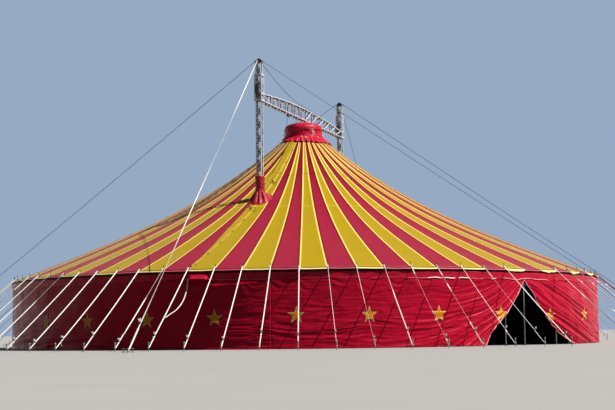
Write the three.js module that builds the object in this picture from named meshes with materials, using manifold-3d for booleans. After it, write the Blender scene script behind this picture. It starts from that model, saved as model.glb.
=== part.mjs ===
import * as THREE from "three";
import Module from "manifold-3d";
import { mergeVertices } from "three/addons/utils/BufferGeometryUtils.js";

// Circus big top: round two-mast tent, Z up, ground at z = 0, masts along Y, millimetres.

const GAP = 0.3;
const PANELS = 80;
const STEP = 360 / PANELS;
const SECTORS = 8;
const SECTOR = 360 / SECTORS;
const SPLICE = 0.01; // degrees left free between neighbouring lengths of cable or belt
const MATCH = 0.01; // degrees within which two azimuths are the same

const EAVE_R = 14000;
const EAVE_Z = 3097;
const EAVE_OVERHANG = 70;
const CROWN_R = 1000;
const CROWN_Z = 9760;
const CROWN_EDGE_R = 1400;
const SLOPE_SHARE = 0.748;
const SAG_POWER = 3.256;
const ROOF_T = 10;
const ROOF_RINGS = [1000, 1400, 2300, 3500, 5200, 7400, 10400];
const VALANCE_Z = 2705;

const WALL_R = 14010;
const WALL_T = 10;
const DOOR_AZ = 58.5;
const DOOR_APEX_Z = 2580;
const DOOR_LEFT = [[49.7, 0], [50.7, 490], [54.5, 1400], [57.2, 2180], [DOOR_AZ, DOOR_APEX_Z]];
const DOOR_RIGHT = [[DOOR_AZ, DOOR_APEX_Z], [60.9, 1810], [63.9, 1090], [67.2, 630], [70, 350], [73.5, 0]];
const ENTRANCE_AZ = 63; // the seam that has no pole
const GUYLESS_AZ = [DOOR_AZ, ENTRANCE_AZ]; // the seams over the entrance that have no guy

const POLE_PITCH_R = 13950;
const POLE_R = 30;
const POLE_SIDES = 5;
const WALL_CABLE_Z = 2960;
const WALL_CABLE_W = 16;

const STAKE_R = 17500;
const STAKE_H = 340;
const STAKE_W = 40;
const GUY_W = 40;
const STRAP_T = 12;
const STRAP_TOP_RISE = 75;
const STRAP_FOOT_Z = 150;
const SPIGOT_W = 24;
const SPIGOT_RISE = 190;
const BELT_W = 48;

const MAST_Y = 6113;
const MAST_SIDE = 275;
const MAST_CHORD = 40;
const MAST_WEB = 24;
const MAST_H = 12800;
const MAST_BAYS = 6;
const FOOT_W = 560;
const FOOT_T = 30;

const HEAD_Z = 12900;
const HEAD_R = 170;
const HEAD_SIDES = 24;
const HEAD_T = 24;
const HEAD_PLATE_T = 30;
const HEAD_PLATE_RIM = 15;
const HEAD_DRUM_R = 62;
const HEAD_DRUM_RISE = 90;
const HEAD_DRUM_SIDES = 12;
const HEAD_CAP_W = 190;
const HEAD_CAP_T = 24;

const SLEEVE_WALL = 40;
const SLEEVE_BANDS = [11085, 11390, 12250];
const SLEEVE_BAND_H = 70;

const BRIDGE_W = 280;
const BRIDGE_CHORD = 45;
const BRIDGE_WEB = 24;
const BRIDGE_BOTTOM_Z = 11085;
const BRIDGE_END_Z = 11390;
const BRIDGE_RISE = 260;
const BRIDGE_BAYS = 8;
const HOIST_FRONT = { w: 200, d: 140, h: 660, z: 11510 };
const HOIST_REAR = { w: 200, d: 160, h: 240, z: 11559.3 };

const COVER_OUTLINE = [[0, 10960], [450, 10930], [800, 10812], [947, 10640], [947, 10240], [1120, 10056],
  [1400, 9802]];
const COVER_WALL_R = 947;
const COVER_T = 10;
const COVER_SIDES = 20;
const FLARE_CUT = { r: 1220, az: 83.9, shift: 240, sides: 32 }; // the flare's outline, off centre
const LACE_RING = { innerR: 900, low: 10060, high: 10120 };
const TOP_RING = { innerR: 866, low: 10590, high: 10635 };
const CROWN_POSTS = 4;
const CROWN_POST_W = 30;
const HANGER_R = 10;
const HANGER_Y = 700;
const HANGER_HOLE_R = 12;
const HANGER_ARM_W = 26;

const BOOT_TUBE_R = 212;
const BOOT_TUBE_TOP = 7640;
const BOOT_TUBE_FOOT = 6960;
const BOOT_FLARE_R = 336;
const BOOT_FLARE_RISE = 190;
const BOOT_BASE_R = 560;
const BOOT_T = 10;
const BOOT_REST = 1.4;
const BOOT_SIDES = 16;
const MAST_HOLE_R = 240;
const MAST_HOLE_SIDES = 16;

const STAY_R = 9;
const STAY_ANCHOR_R = 19800;
const END_STAY_ANCHOR_R = 19100;
const ANCHOR_W = 500;
const ANCHOR_H = 160;
const ANCHOR_D = 90;

const ROPE_R = 11;
const ROPE_SIDES = 8;
const ROPE_STEPS = 78;
const ROPE_SEAT = 3.48; // how far below its full radius the rope's last ring lies on the chord
const ROPE_REACH_Y = 2300;

const FABRIC_YELLOW = { color: 0xe9b93b, roughness: 0.5, metalness: 0 };
const FABRIC_RED = { color: 0xc41f3a, roughness: 0.5, metalness: 0 };
const STEEL = { color: 0xa7adb3, roughness: 0.4, metalness: 0.8 };
const PALE_STEEL = { color: 0xd3d5d6, roughness: 0.45, metalness: 0.6 };
const WEBBING = { color: 0xe8e6e0, roughness: 0.8, metalness: 0 };
const DARK_PAINT = { color: 0x24272b, roughness: 0.5, metalness: 0.1 };
const CABLE = { color: 0x5b6066, roughness: 0.5, metalness: 0.7 };
const ROPE = { color: 0x2b2b2e, roughness: 0.9, metalness: 0 };

const wasm = await Module();
wasm.setup();

const group = new THREE.Group();
group.name = "big_top";

const rad = THREE.MathUtils.degToRad;

function point(az, r, z) {
  return new THREE.Vector3(r * Math.sin(rad(az)), -r * Math.cos(rad(az)), z);
}

// The tent is a polygon with one flat panel between neighbouring seams.
function facetRadius(az, r) {
  const mid = (Math.floor(az / STEP + 1e-6) + 0.5) * STEP;
  return (r * Math.cos(rad(STEP / 2))) / Math.cos(rad(az - mid));
}

function roofCurve(r) {
  const s = (EAVE_R - r) / (EAVE_R - CROWN_EDGE_R);
  const bend = Math.sign(s) * Math.abs(s) ** SAG_POWER;
  return EAVE_Z + (CROWN_Z - EAVE_Z) * (SLOPE_SHARE * s + (1 - SLOPE_SHARE) * bend);
}

const ringRadii = [...ROOF_RINGS, EAVE_R + EAVE_OVERHANG];

function roofTop(r) {
  let i = 1;
  while (i < ringRadii.length - 1 && ringRadii[i] < r) i++;
  const [r0, r1] = [ringRadii[i - 1], ringRadii[i]];
  return THREE.MathUtils.lerp(roofCurve(r0), roofCurve(r1), (r - r0) / (r1 - r0));
}

function roofTopAt(x, y) {
  const az = THREE.MathUtils.radToDeg(Math.atan2(x, -y));
  const r = Math.hypot(x, y);
  return roofTop((r * r) / facetRadius(az, r));
}

function weld(geometry) {
  const bare = geometry.clone();
  bare.deleteAttribute("normal");
  bare.deleteAttribute("uv");
  const merged = mergeVertices(bare, 1e-3);
  const source = merged.index.array;
  const index = [];
  for (let i = 0; i < source.length; i += 3) {
    const [a, b, c] = [source[i], source[i + 1], source[i + 2]];
    if (a !== b && b !== c && c !== a) index.push(a, b, c);
  }
  merged.setIndex(index);
  return merged;
}

function toSolid(geometry) {
  const welded = geometry.index && !geometry.attributes.normal ? geometry : weld(geometry);
  return new wasm.Manifold(new wasm.Mesh({
    numProp: 3,
    vertProperties: new Float32Array(welded.attributes.position.array),
    triVerts: new Uint32Array(welded.index.array),
  }));
}

function toGeometry(solid) {
  const mesh = solid.getMesh();
  const geometry = new THREE.BufferGeometry();
  geometry.setAttribute("position", new THREE.BufferAttribute(mesh.vertProperties, 3));
  geometry.setIndex(new THREE.BufferAttribute(mesh.triVerts, 1));
  return geometry;
}

function fuse(pieces) {
  return toGeometry(pieces.map(toSolid).reduce((whole, piece) => whole.add(piece)));
}

function within(geometry, limit) {
  return toGeometry(toSolid(geometry).intersect(toSolid(limit)));
}

function cut(geometry, tools) {
  return toGeometry(tools.map(toSolid).reduce((whole, tool) => whole.subtract(tool), toSolid(geometry)));
}

// A closed solid through a row of matching loops; flat is the loop's outline for the end caps.
function loft(sections, flat) {
  const count = flat.length;
  const positions = sections.flat().flatMap((p) => [p.x, p.y, p.z]);
  const index = [];
  for (let s = 0; s < sections.length - 1; s++) {
    for (let i = 0; i < count; i++) {
      const a = s * count + i;
      const b = s * count + ((i + 1) % count);
      index.push(a, b, b + count, a, b + count, a + count);
    }
  }
  const last = (sections.length - 1) * count;
  const clockwise = THREE.ShapeUtils.isClockWise(flat);
  for (const [a, p, q] of THREE.ShapeUtils.triangulateShape(flat, [])) {
    const flipped = THREE.ShapeUtils.isClockWise([flat[a], flat[p], flat[q]]) !== clockwise;
    const [b, c] = flipped ? [q, p] : [p, q];
    index.push(a, c, b, last + a, last + b, last + c);
  }
  const geometry = new THREE.BufferGeometry();
  geometry.setAttribute("position", new THREE.Float32BufferAttribute(positions, 3));
  geometry.setIndex(index);
  return geometry;
}

function turnOutward(geometry) {
  const p = geometry.attributes.position;
  const index = [...geometry.index.array];
  const [a, b, c] = [new THREE.Vector3(), new THREE.Vector3(), new THREE.Vector3()];
  let volume = 0;
  for (let i = 0; i < index.length; i += 3) {
    a.fromBufferAttribute(p, index[i]);
    b.fromBufferAttribute(p, index[i + 1]);
    c.fromBufferAttribute(p, index[i + 2]);
    volume += a.dot(b.cross(c));
  }
  if (volume < 0) {
    for (let i = 0; i < index.length; i += 3) [index[i], index[i + 1]] = [index[i + 1], index[i]];
    geometry.setIndex(index);
  }
  return geometry;
}

// Sweeps a profile of [radius, height] pairs along the panels between two azimuths.
function arcSweep(profile, from, to) {
  const stops = [from];
  for (let k = Math.floor(from / STEP + 1e-6) + 1; k * STEP < to - 1e-6; k++) stops.push(k * STEP);
  stops.push(to);
  const sections = stops.map((az) => profile.map(([r, z]) => point(az, facetRadius(az, r), z)));
  return turnOutward(loft(sections, profile.map(([r, z]) => new THREE.Vector2(r, z))));
}

function bar(from, to, width, depth = width, sideways = new THREE.Vector3(0, 0, 1)) {
  const along = to.clone().sub(from);
  const box = new THREE.BoxGeometry(width, depth, along.length());
  const z = along.clone().normalize();
  let y = sideways.clone().addScaledVector(z, -sideways.dot(z));
  if (y.length() < 1e-3) y = new THREE.Vector3(0, 1, 0).addScaledVector(z, -z.y);
  y.normalize();
  const x = y.clone().cross(z);
  const matrix = new THREE.Matrix4().makeBasis(x, y, z);
  matrix.setPosition(from.clone().add(to).multiplyScalar(0.5));
  return box.applyMatrix4(matrix);
}

function rod(from, to, radius, sides = 6) {
  const along = to.clone().sub(from);
  const cylinder = new THREE.CylinderGeometry(radius, radius, along.length(), sides);
  const turn = new THREE.Quaternion().setFromUnitVectors(new THREE.Vector3(0, 1, 0), along.normalize());
  cylinder.applyQuaternion(turn);
  const middle = from.clone().add(to).multiplyScalar(0.5);
  return cylinder.translate(middle.x, middle.y, middle.z);
}

function block(x, y, z, cx, cy, cz) {
  return new THREE.BoxGeometry(x, y, z).translate(cx, cy, cz);
}

function turned(profile, sides) {
  const points = profile.map(([r, z]) => new THREE.Vector2(r, z));
  const lathe = new THREE.LatheGeometry([...points, points[0].clone()], sides);
  return turnOutward(weld(lathe.rotateX(Math.PI / 2)));
}

function add(name, geometry, look) {
  const mesh = new THREE.Mesh(geometry, new THREE.MeshStandardMaterial(look));
  mesh.name = name;
  group.add(mesh);
}

// Canopy: eight sectors of ten panels with the valance hanging from the eave.
// The two halves meet along the bridge line, where each mast stands on the seam.
function roofSector(index) {
  const from = index * SECTOR;
  const to = from + SECTOR;
  const edge = EAVE_R + EAVE_OVERHANG;
  const top = ringRadii.map((r) => [r, roofCurve(r)]);
  const valance = [[edge, VALANCE_Z], [edge - ROOF_T, VALANCE_Z]];
  const under = ROOF_RINGS.map((r) => [r, roofCurve(r) - ROOF_T]).reverse();
  const corner = [edge - ROOF_T, roofTop(edge - ROOF_T) - ROOF_T];
  const shift = THREE.MathUtils.radToDeg(GAP / 2 / CROWN_R);
  const sheet = arcSweep([...top, ...valance, corner, ...under], from + shift, to - shift);
  const mastAz = [from, to].find((az) => az % 180 === 0);
  if (mastAz === undefined) return sheet;
  const y = mastAz === 180 ? MAST_Y : -MAST_Y;
  return cut(sheet, [rod(new THREE.Vector3(0, y, EAVE_Z), new THREE.Vector3(0, y, CROWN_Z), MAST_HOLE_R,
    MAST_HOLE_SIDES)]);
}

function doorEdge(edge, az) {
  let i = 1;
  while (i < edge.length - 1 && edge[i][0] < az) i++;
  const [[a0, z0], [a1, z1]] = [edge[i - 1], edge[i]];
  return THREE.MathUtils.clamp(THREE.MathUtils.mapLinear(az, a0, a1, z0, z1), 0, DOOR_APEX_Z);
}

// Side curtains: the first and the last are pulled apart to form the entrance.
function wall(index) {
  const from = DOOR_AZ + index * SECTOR;
  const to = from + SECTOR;
  const edge = index === 0 ? DOOR_RIGHT : DOOR_LEFT.map(([az, z]) => [az + 360, z]);
  const doored = index === 0 || index === SECTORS - 1;
  const shift = THREE.MathUtils.radToDeg(GAP / WALL_R);
  const inside = (az) => az > from + MATCH && az < to - MATCH;
  const stops = new Set([from + shift, to - shift]);
  for (let k = Math.ceil(from / STEP); k * STEP <= to; k++) {
    if (inside(k * STEP)) stops.add(k * STEP);
  }
  if (doored) edge.filter(([az]) => inside(az)).forEach(([az]) => stops.add(az));
  const top = (r) => roofTop(r) - ROOF_T - GAP;
  const sections = [...stops].sort((a, b) => a - b).map((az) => {
    const foot = doored ? doorEdge(edge, az) : 0;
    const outer = WALL_R + WALL_T;
    return [[WALL_R, foot], [outer, foot], [outer, top(outer)], [WALL_R, top(WALL_R)]]
      .map(([r, z]) => point(az, facetRadius(az, r), z));
  });
  const flat = [[0, 0], [1, 0], [1, 1], [0, 1]].map(([x, y]) => new THREE.Vector2(x, y));
  return turnOutward(loft(sections, flat));
}

function seamsOf(index, without) {
  const seams = Array.from({ length: PANELS / SECTORS }, (_, k) => index * SECTOR + k * STEP);
  return seams.filter((az) => without.every((open) => Math.abs(az - open) > MATCH));
}

// A ring's share of one sector, from half a panel before its first seam.
function ringShare(index, profile) {
  const from = index * SECTOR - STEP / 2;
  return arcSweep(profile, from + SPLICE, from + SECTOR - SPLICE);
}

// Eave poles at the seams, joined by the wall cable; none stands in the entrance passage.
function eavePoles(index) {
  const half = WALL_CABLE_W / 2;
  const cable = ringShare(index, [
    [POLE_PITCH_R - half, WALL_CABLE_Z - half], [POLE_PITCH_R + half, WALL_CABLE_Z - half],
    [POLE_PITCH_R + half, WALL_CABLE_Z + half], [POLE_PITCH_R - half, WALL_CABLE_Z + half],
  ]);
  const top = roofTop(POLE_PITCH_R + POLE_R) - ROOF_T - GAP;
  const poles = seamsOf(index, [ENTRANCE_AZ]).map((az) =>
    rod(point(az, POLE_PITCH_R, 0), point(az, POLE_PITCH_R, top), POLE_R, POLE_SIDES));
  return fuse([cable, ...poles]);
}

// Guy straps from the spigots on the eave to the ring of stakes, joined by the eave belt.
function guyStraps(index) {
  const inner = POLE_PITCH_R - BELT_W / 2;
  const outer = POLE_PITCH_R + BELT_W / 2;
  const low = (r) => roofTop(r) + GAP;
  const belt = ringShare(index,
    [[inner, low(inner)], [outer, low(outer)], [outer, low(outer) + STRAP_T], [inner, low(inner) + STRAP_T]]);
  const eave = roofTop(POLE_PITCH_R);
  const slope = (eave + STRAP_TOP_RISE - STRAP_FOOT_Z) / (STAKE_R - POLE_PITCH_R);
  const halfRise = STRAP_T / 2 / Math.cos(Math.atan(slope));
  const strapZ = (r, side) => STRAP_FOOT_Z + slope * (STAKE_R - r) + side * halfRise;
  const [pinIn, pinOut] = [POLE_PITCH_R - SPIGOT_W / 2, POLE_PITCH_R + SPIGOT_W / 2];
  const [stakeIn, stakeOut] = [STAKE_R - STAKE_W / 2, STAKE_R + STAKE_W / 2];
  const outline = new THREE.Shape([
    [pinIn, eave + STRAP_T / 2], [pinOut, eave + STRAP_T / 2], [pinOut, strapZ(pinOut, -1)],
    [stakeIn, strapZ(stakeIn, -1)], [stakeIn, 0], [stakeOut, 0], [stakeOut, STAKE_H], [stakeIn, STAKE_H],
    [stakeIn, strapZ(stakeIn, 1)], [pinOut, strapZ(pinOut, 1)], [pinOut, eave + SPIGOT_RISE],
    [pinIn, eave + SPIGOT_RISE],
  ].map(([r, z]) => new THREE.Vector2(r, z)));
  const plate = new THREE.ExtrudeGeometry(outline, { depth: GUY_W, bevelEnabled: false })
    .translate(0, 0, -GUY_W / 2).rotateX(Math.PI / 2);
  return fuse([belt, ...seamsOf(index, GUYLESS_AZ).map((az) => plate.clone().rotateZ(rad(az - 90)))]);
}

// Square lattice mast standing on a foot plate.
function mast(y) {
  const half = (MAST_SIDE - MAST_CHORD) / 2;
  const corners = [[-half, -half], [half, -half], [half, half], [-half, half]];
  const pieces = [block(FOOT_W, FOOT_W, FOOT_T, 0, y, FOOT_T / 2)];
  const bay = (MAST_H - FOOT_T) / MAST_BAYS;
  corners.forEach(([cx, cy], i) => {
    const [nx, ny] = corners[(i + 1) % 4];
    pieces.push(block(MAST_CHORD, MAST_CHORD, MAST_H - FOOT_T / 2, cx, y + cy, (MAST_H + FOOT_T / 2) / 2));
    for (let k = 1; k <= MAST_BAYS; k++) {
      const z = FOOT_T + k * bay - (k === MAST_BAYS ? MAST_WEB / 2 : 0);
      pieces.push(bar(new THREE.Vector3(cx, y + cy, z), new THREE.Vector3(nx, y + ny, z), MAST_WEB));
    }
    for (let k = 0; k < MAST_BAYS; k++) {
      const low = FOOT_T + k * bay;
      const [a, b] = (k + i) % 2 ? [[cx, cy], [nx, ny]] : [[nx, ny], [cx, cy]];
      const foot = new THREE.Vector3(a[0], y + a[1], low + MAST_CHORD);
      pieces.push(bar(foot, new THREE.Vector3(b[0], y + b[1], low + bay - MAST_CHORD), MAST_WEB));
    }
  });
  return fuse(pieces);
}

// Head on the mast: base plate, drum, stay flange and cap.
function mastHead(y) {
  const plateW = MAST_SIDE + 2 * HEAD_PLATE_RIM;
  const plateZ = MAST_H + GAP + HEAD_PLATE_T / 2;
  const drumTop = HEAD_Z + HEAD_DRUM_RISE;
  const column = (low, high, radius, sides) =>
    rod(new THREE.Vector3(0, y, low), new THREE.Vector3(0, y, high), radius, sides);
  return fuse([
    block(plateW, plateW, HEAD_PLATE_T, 0, y, plateZ),
    column(plateZ, drumTop, HEAD_DRUM_R, HEAD_DRUM_SIDES),
    column(HEAD_Z - HEAD_T / 2, HEAD_Z + HEAD_T / 2, HEAD_R, HEAD_SIDES),
    block(HEAD_CAP_W, HEAD_CAP_W, HEAD_CAP_T, 0, y, drumTop + HEAD_CAP_T / 4),
  ]);
}

function sleeve(y) {
  const inner = MAST_SIDE / 2 + GAP;
  const outer = inner + SLEEVE_WALL;
  const postOff = outer - SLEEVE_WALL / 2;
  const bands = SLEEVE_BANDS.map((z) => block(2 * outer, 2 * outer, SLEEVE_BAND_H, 0, y, z));
  const low = SLEEVE_BANDS[0];
  const high = SLEEVE_BANDS[SLEEVE_BANDS.length - 1];
  const posts = [[-1, -1], [1, -1], [1, 1], [-1, 1]].map(([sx, sy]) =>
    block(SLEEVE_WALL, SLEEVE_WALL, high - low, sx * postOff, y + sy * postOff, (low + high) / 2));
  const bore = block(2 * inner, 2 * inner, high - low + 2 * SLEEVE_BAND_H, 0, y, (low + high) / 2);
  return cut(fuse([...bands, ...posts]), [bore]);
}

// Hoist box on the side of a sleeve that faces the front.
function hoist(y, { w, d, h, z }) {
  const face = MAST_SIDE / 2 + SLEEVE_WALL + 2 * GAP;
  return block(w, d, h, 0, y - face - d / 2, z);
}

function bridgeTopZ(y) {
  return BRIDGE_END_Z + BRIDGE_RISE * (1 - (y / MAST_Y) ** 2);
}

// Bridge girder between the sleeves: straight bottom chords, arched top chords.
function bridge() {
  const reach = MAST_Y - MAST_SIDE / 2 - SLEEVE_WALL - 2 * GAP;
  const side = (BRIDGE_W - BRIDGE_CHORD) / 2;
  const stops = Array.from({ length: BRIDGE_BAYS + 1 }, (_, k) => -reach + (2 * reach * k) / BRIDGE_BAYS);
  const pieces = [];
  for (const x of [-side, side]) {
    const half = BRIDGE_CHORD / 2;
    pieces.push(block(BRIDGE_CHORD, 2 * reach, BRIDGE_CHORD, x, 0, BRIDGE_BOTTOM_Z));
    const arch = new THREE.Shape([
      ...stops.map((y) => new THREE.Vector2(y, bridgeTopZ(y) + half)),
      ...stops.map((y) => new THREE.Vector2(y, bridgeTopZ(y) - half)).reverse(),
    ]);
    const chord = new THREE.ExtrudeGeometry(arch, { depth: BRIDGE_CHORD, bevelEnabled: false });
    const basis = new THREE.Matrix4().makeBasis(
      new THREE.Vector3(0, 1, 0), new THREE.Vector3(0, 0, 1), new THREE.Vector3(1, 0, 0));
    pieces.push(chord.applyMatrix4(basis).translate(x - half, 0, 0));
    stops.slice(1, -1).forEach((y) => {
      const foot = new THREE.Vector3(x, y, BRIDGE_BOTTOM_Z);
      pieces.push(bar(foot, new THREE.Vector3(x, y, bridgeTopZ(y)), BRIDGE_WEB));
    });
    stops.slice(0, -1).forEach((y, k) => {
      const next = stops[k + 1];
      const rising = y + next < 0;
      const foot = new THREE.Vector3(x, rising ? y + BRIDGE_CHORD : next - BRIDGE_CHORD, BRIDGE_BOTTOM_Z);
      const topY = rising ? next : y;
      pieces.push(bar(foot, new THREE.Vector3(x, topY, bridgeTopZ(topY)), BRIDGE_WEB));
    });
  }
  stops.forEach((y, k) => {
    const inset = k === 0 ? BRIDGE_WEB / 2 : k === BRIDGE_BAYS ? -BRIDGE_WEB / 2 : 0;
    for (const z of [BRIDGE_BOTTOM_Z, bridgeTopZ(y)]) {
      const [left, right] = [-side, side].map((x) => new THREE.Vector3(x, y + inset, z));
      pieces.push(bar(left, right, BRIDGE_WEB));
    }
  });
  return fuse(pieces);
}

const hangerSpots = [[-1, -1], [1, -1], [1, 1], [-1, 1]].map(([sx, sy]) =>
  [(sx * (BRIDGE_W - BRIDGE_CHORD)) / 2, sy * HANGER_Y]);

// Crown ring inside the cover, with the four rods that hang it under the bridge.
function crownRing() {
  const laceR = CROWN_R * Math.cos(rad(STEP / 2)) - GAP;
  const topR = COVER_WALL_R - COVER_T - GAP;
  const hoop = ({ innerR, low, high }, outerR) =>
    turned([[innerR, low], [outerR, low], [outerR, high], [innerR, high]], COVER_SIDES);
  const pieces = [hoop(LACE_RING, laceR), hoop(TOP_RING, topR)];
  const armZ = (TOP_RING.low + TOP_RING.high) / 2;
  for (let k = 0; k < CROWN_POSTS; k++) {
    const az = ((k + 0.5) * 360) / CROWN_POSTS;
    const foot = point(az, LACE_RING.innerR + CROWN_POST_W / 2, (LACE_RING.low + LACE_RING.high) / 2);
    pieces.push(bar(foot, point(az, TOP_RING.innerR + CROWN_POST_W, armZ), CROWN_POST_W));
  }
  const top = BRIDGE_BOTTOM_Z - BRIDGE_CHORD / 2 - GAP;
  for (const [x, y] of hangerSpots) {
    const foot = new THREE.Vector3(x, y, armZ);
    pieces.push(rod(foot, new THREE.Vector3(x, y, top), HANGER_R));
    const rim = Math.sign(y) * (TOP_RING.innerR + CROWN_POST_W / 2);
    pieces.push(bar(foot, new THREE.Vector3(x, rim, armZ), HANGER_ARM_W));
  }
  return fuse(pieces);
}

// Moves an outline of [radius, height] pairs inward, its corners mitred.
function inwardOffset(outline, distance) {
  const normals = outline.slice(1).map(([r, z], i) => {
    const [dr, dz] = [r - outline[i][0], z - outline[i][1]];
    return [dz / Math.hypot(dr, dz), -dr / Math.hypot(dr, dz)];
  });
  return outline.map(([r, z], i) => {
    const a = normals[Math.max(i - 1, 0)];
    const b = normals[Math.min(i, normals.length - 1)];
    const mitre = distance / (1 + a[0] * b[0] + a[1] * b[1]);
    return [Math.max(r + (a[0] + b[0]) * mitre, 0), z + (a[1] + b[1]) * mitre];
  });
}

function crownCover() {
  const shell = turned([...COVER_OUTLINE, ...inwardOffset(COVER_OUTLINE, COVER_T).reverse()], COVER_SIDES);
  const middle = (z) => point(FLARE_CUT.az, FLARE_CUT.shift, z);
  const outline = rod(middle(EAVE_Z), middle(MAST_H), FLARE_CUT.r, FLARE_CUT.sides);
  const holes = hangerSpots.map(([x, y]) =>
    rod(new THREE.Vector3(x, y, TOP_RING.high), new THREE.Vector3(x, y, BRIDGE_BOTTOM_Z), HANGER_HOLE_R, 8));
  return cut(within(shell, outline), holes);
}

// Boot round a mast: a tube that flares out to lie on the roof.
function boot(y) {
  const tuck = BOOT_T / 2;
  const rings = [
    [BOOT_TUBE_R, () => BOOT_TUBE_TOP],
    [BOOT_TUBE_R, () => BOOT_TUBE_FOOT],
    [BOOT_FLARE_R, (x, v) => roofTopAt(x, v) + BOOT_FLARE_RISE],
    [BOOT_BASE_R, (x, v) => roofTopAt(x, v) + BOOT_REST + BOOT_T],
  ];
  const inner = [
    [BOOT_BASE_R - tuck, (x, v) => roofTopAt(x, v) + BOOT_REST],
    [BOOT_FLARE_R - BOOT_T, (x, v) => roofTopAt(x, v) + BOOT_FLARE_RISE - tuck],
    [BOOT_TUBE_R - BOOT_T, () => BOOT_TUBE_FOOT - tuck],
    [BOOT_TUBE_R - BOOT_T, () => BOOT_TUBE_TOP],
  ];
  const sections = [];
  for (let k = 0; k < BOOT_SIDES; k++) {
    const angle = (2 * Math.PI * k) / BOOT_SIDES;
    sections.push([...rings, ...inner].map(([r, height]) => {
      const [x, v] = [r * Math.cos(angle), y + r * Math.sin(angle)];
      return new THREE.Vector3(x, v, height(x, v));
    }));
  }
  const count = rings.length + inner.length;
  const index = [];
  for (let s = 0; s < BOOT_SIDES; s++) {
    const next = (s + 1) % BOOT_SIDES;
    for (let i = 0; i < count; i++) {
      const up = (i + 1) % count;
      const [a, b, c, d] = [s * count + i, s * count + up, next * count + i, next * count + up];
      index.push(a, b, d, a, d, c);
    }
  }
  const geometry = new THREE.BufferGeometry();
  geometry.setAttribute("position", new THREE.Float32BufferAttribute(
    sections.flat().flatMap((p) => [p.x, p.y, p.z]), 3));
  geometry.setIndex(index);
  return turnOutward(geometry);
}

// Distance from the mast axis at which a stay's flat end clears the flange by the gap.
function rimReach(direction) {
  const edge = (2 * Math.PI) / HEAD_SIDES;
  const turn = Math.atan2(direction.y, direction.x) + 2 * Math.PI;
  const offset = (turn % edge) - edge / 2;
  const apothem = HEAD_R * Math.cos(edge / 2);
  return Math.min((apothem + STAY_R * Math.abs(Math.sin(offset))) / Math.cos(offset), HEAD_R) + GAP;
}

// Stay from the flange of a mast head to the block of its ground anchor.
function stay(y, az, anchorR) {
  const radial = point(az, 1, 0);
  const across = new THREE.Vector3(-radial.y, radial.x, 0);
  const foot = point(az, anchorR, ANCHOR_H / 2);
  const out = new THREE.Vector3(foot.x, foot.y - y, 0).normalize();
  const head = new THREE.Vector3(0, y, HEAD_Z).addScaledVector(out, rimReach(out));
  const aside = new THREE.Vector3(-out.y, out.x, 0);
  const corners = [[-1, -1], [1, -1], [1, 1], [-1, 1]];
  const loop = (centre, half, rise, side = across) => corners.map(([i, j]) =>
    centre.clone().addScaledVector(side, i * half).add(new THREE.Vector3(0, 0, j * rise)));
  const back = foot.clone().addScaledVector(radial, ANCHOR_D);
  const flat = corners.map(([i, j]) => new THREE.Vector2(i, j));
  return turnOutward(loft([
    loop(head, STAY_R, STAY_R, aside), loop(foot, STAY_R, STAY_R),
    loop(foot, ANCHOR_W / 2, ANCHOR_H / 2), loop(back, ANCHOR_W / 2, ANCHOR_H / 2),
  ], flat));
}

// Slack rope from the front mast head down to the top chord of the bridge.
function riggingRope() {
  const path = new THREE.CatmullRomCurve3([
    [0, -MAST_Y + HEAD_R + ROPE_R + GAP, HEAD_Z], [8, -5350, 12728], [22, -4700, 12540], [42, -3800, 12295],
    [64, -3000, 12095], [84, -2100, 11915], [102, -1000, 11785], [112, 400, 11722], [116, 1450, 11698],
    [(BRIDGE_W - BRIDGE_CHORD) / 2, ROPE_REACH_Y,
      bridgeTopZ(ROPE_REACH_Y) + BRIDGE_CHORD / 2 + ROPE_R - ROPE_SEAT],
  ].map(([px, py, pz]) => new THREE.Vector3(px, py, pz)));
  const turn = (2 * Math.PI) / ROPE_SIDES;
  const outline = new THREE.Shape(Array.from({ length: ROPE_SIDES }, (_, k) =>
    new THREE.Vector2(ROPE_R * Math.cos(k * turn), ROPE_R * Math.sin(k * turn))));
  const options = { steps: ROPE_STEPS, extrudePath: path, bevelEnabled: false };
  return weld(new THREE.ExtrudeGeometry(outline, options));
}

for (let i = 0; i < SECTORS; i++) {
  add(`roof_sector_${i + 1}`, roofSector(i), i % 2 ? FABRIC_RED : FABRIC_YELLOW);
  add(`wall_curtain_${i + 1}`, wall(i), FABRIC_RED);
  add(`eave_poles_${i + 1}`, eavePoles(i), STEEL);
  add(`guy_straps_${i + 1}`, guyStraps(i), WEBBING);
}
add("mast_front", mast(-MAST_Y), STEEL);
add("mast_rear", mast(MAST_Y), STEEL);
add("mast_head_front", mastHead(-MAST_Y), DARK_PAINT);
add("mast_head_rear", mastHead(MAST_Y), DARK_PAINT);
add("bridge_sleeve_front", sleeve(-MAST_Y), PALE_STEEL);
add("bridge_sleeve_rear", sleeve(MAST_Y), PALE_STEEL);
add("bridge_girder", bridge(), PALE_STEEL);
add("hoist_front", hoist(-MAST_Y, HOIST_FRONT), DARK_PAINT);
add("hoist_rear", hoist(MAST_Y, HOIST_REAR), DARK_PAINT);
add("crown_ring", crownRing(), STEEL);
add("crown_cover", crownCover(), FABRIC_RED);
add("mast_boot_front", boot(-MAST_Y), FABRIC_RED);
add("mast_boot_rear", boot(MAST_Y), FABRIC_RED);
add("stay_front_out", stay(-MAST_Y, 0, END_STAY_ANCHOR_R), WEBBING);
add("stay_front_left", stay(-MAST_Y, -76, STAY_ANCHOR_R), CABLE);
add("stay_front_right", stay(-MAST_Y, 115.8, STAY_ANCHOR_R), CABLE);
add("stay_rear_out", stay(MAST_Y, 180, END_STAY_ANCHOR_R), CABLE);
add("stay_rear_left", stay(MAST_Y, -102, STAY_ANCHOR_R), CABLE);
add("stay_rear_right", stay(MAST_Y, 113.6, STAY_ANCHOR_R), CABLE);
add("rigging_rope", riggingRope(), ROPE);

export default group;
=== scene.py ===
import math
import bmesh
import bpy
import numpy as np
from mathutils import Matrix, Vector


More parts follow.
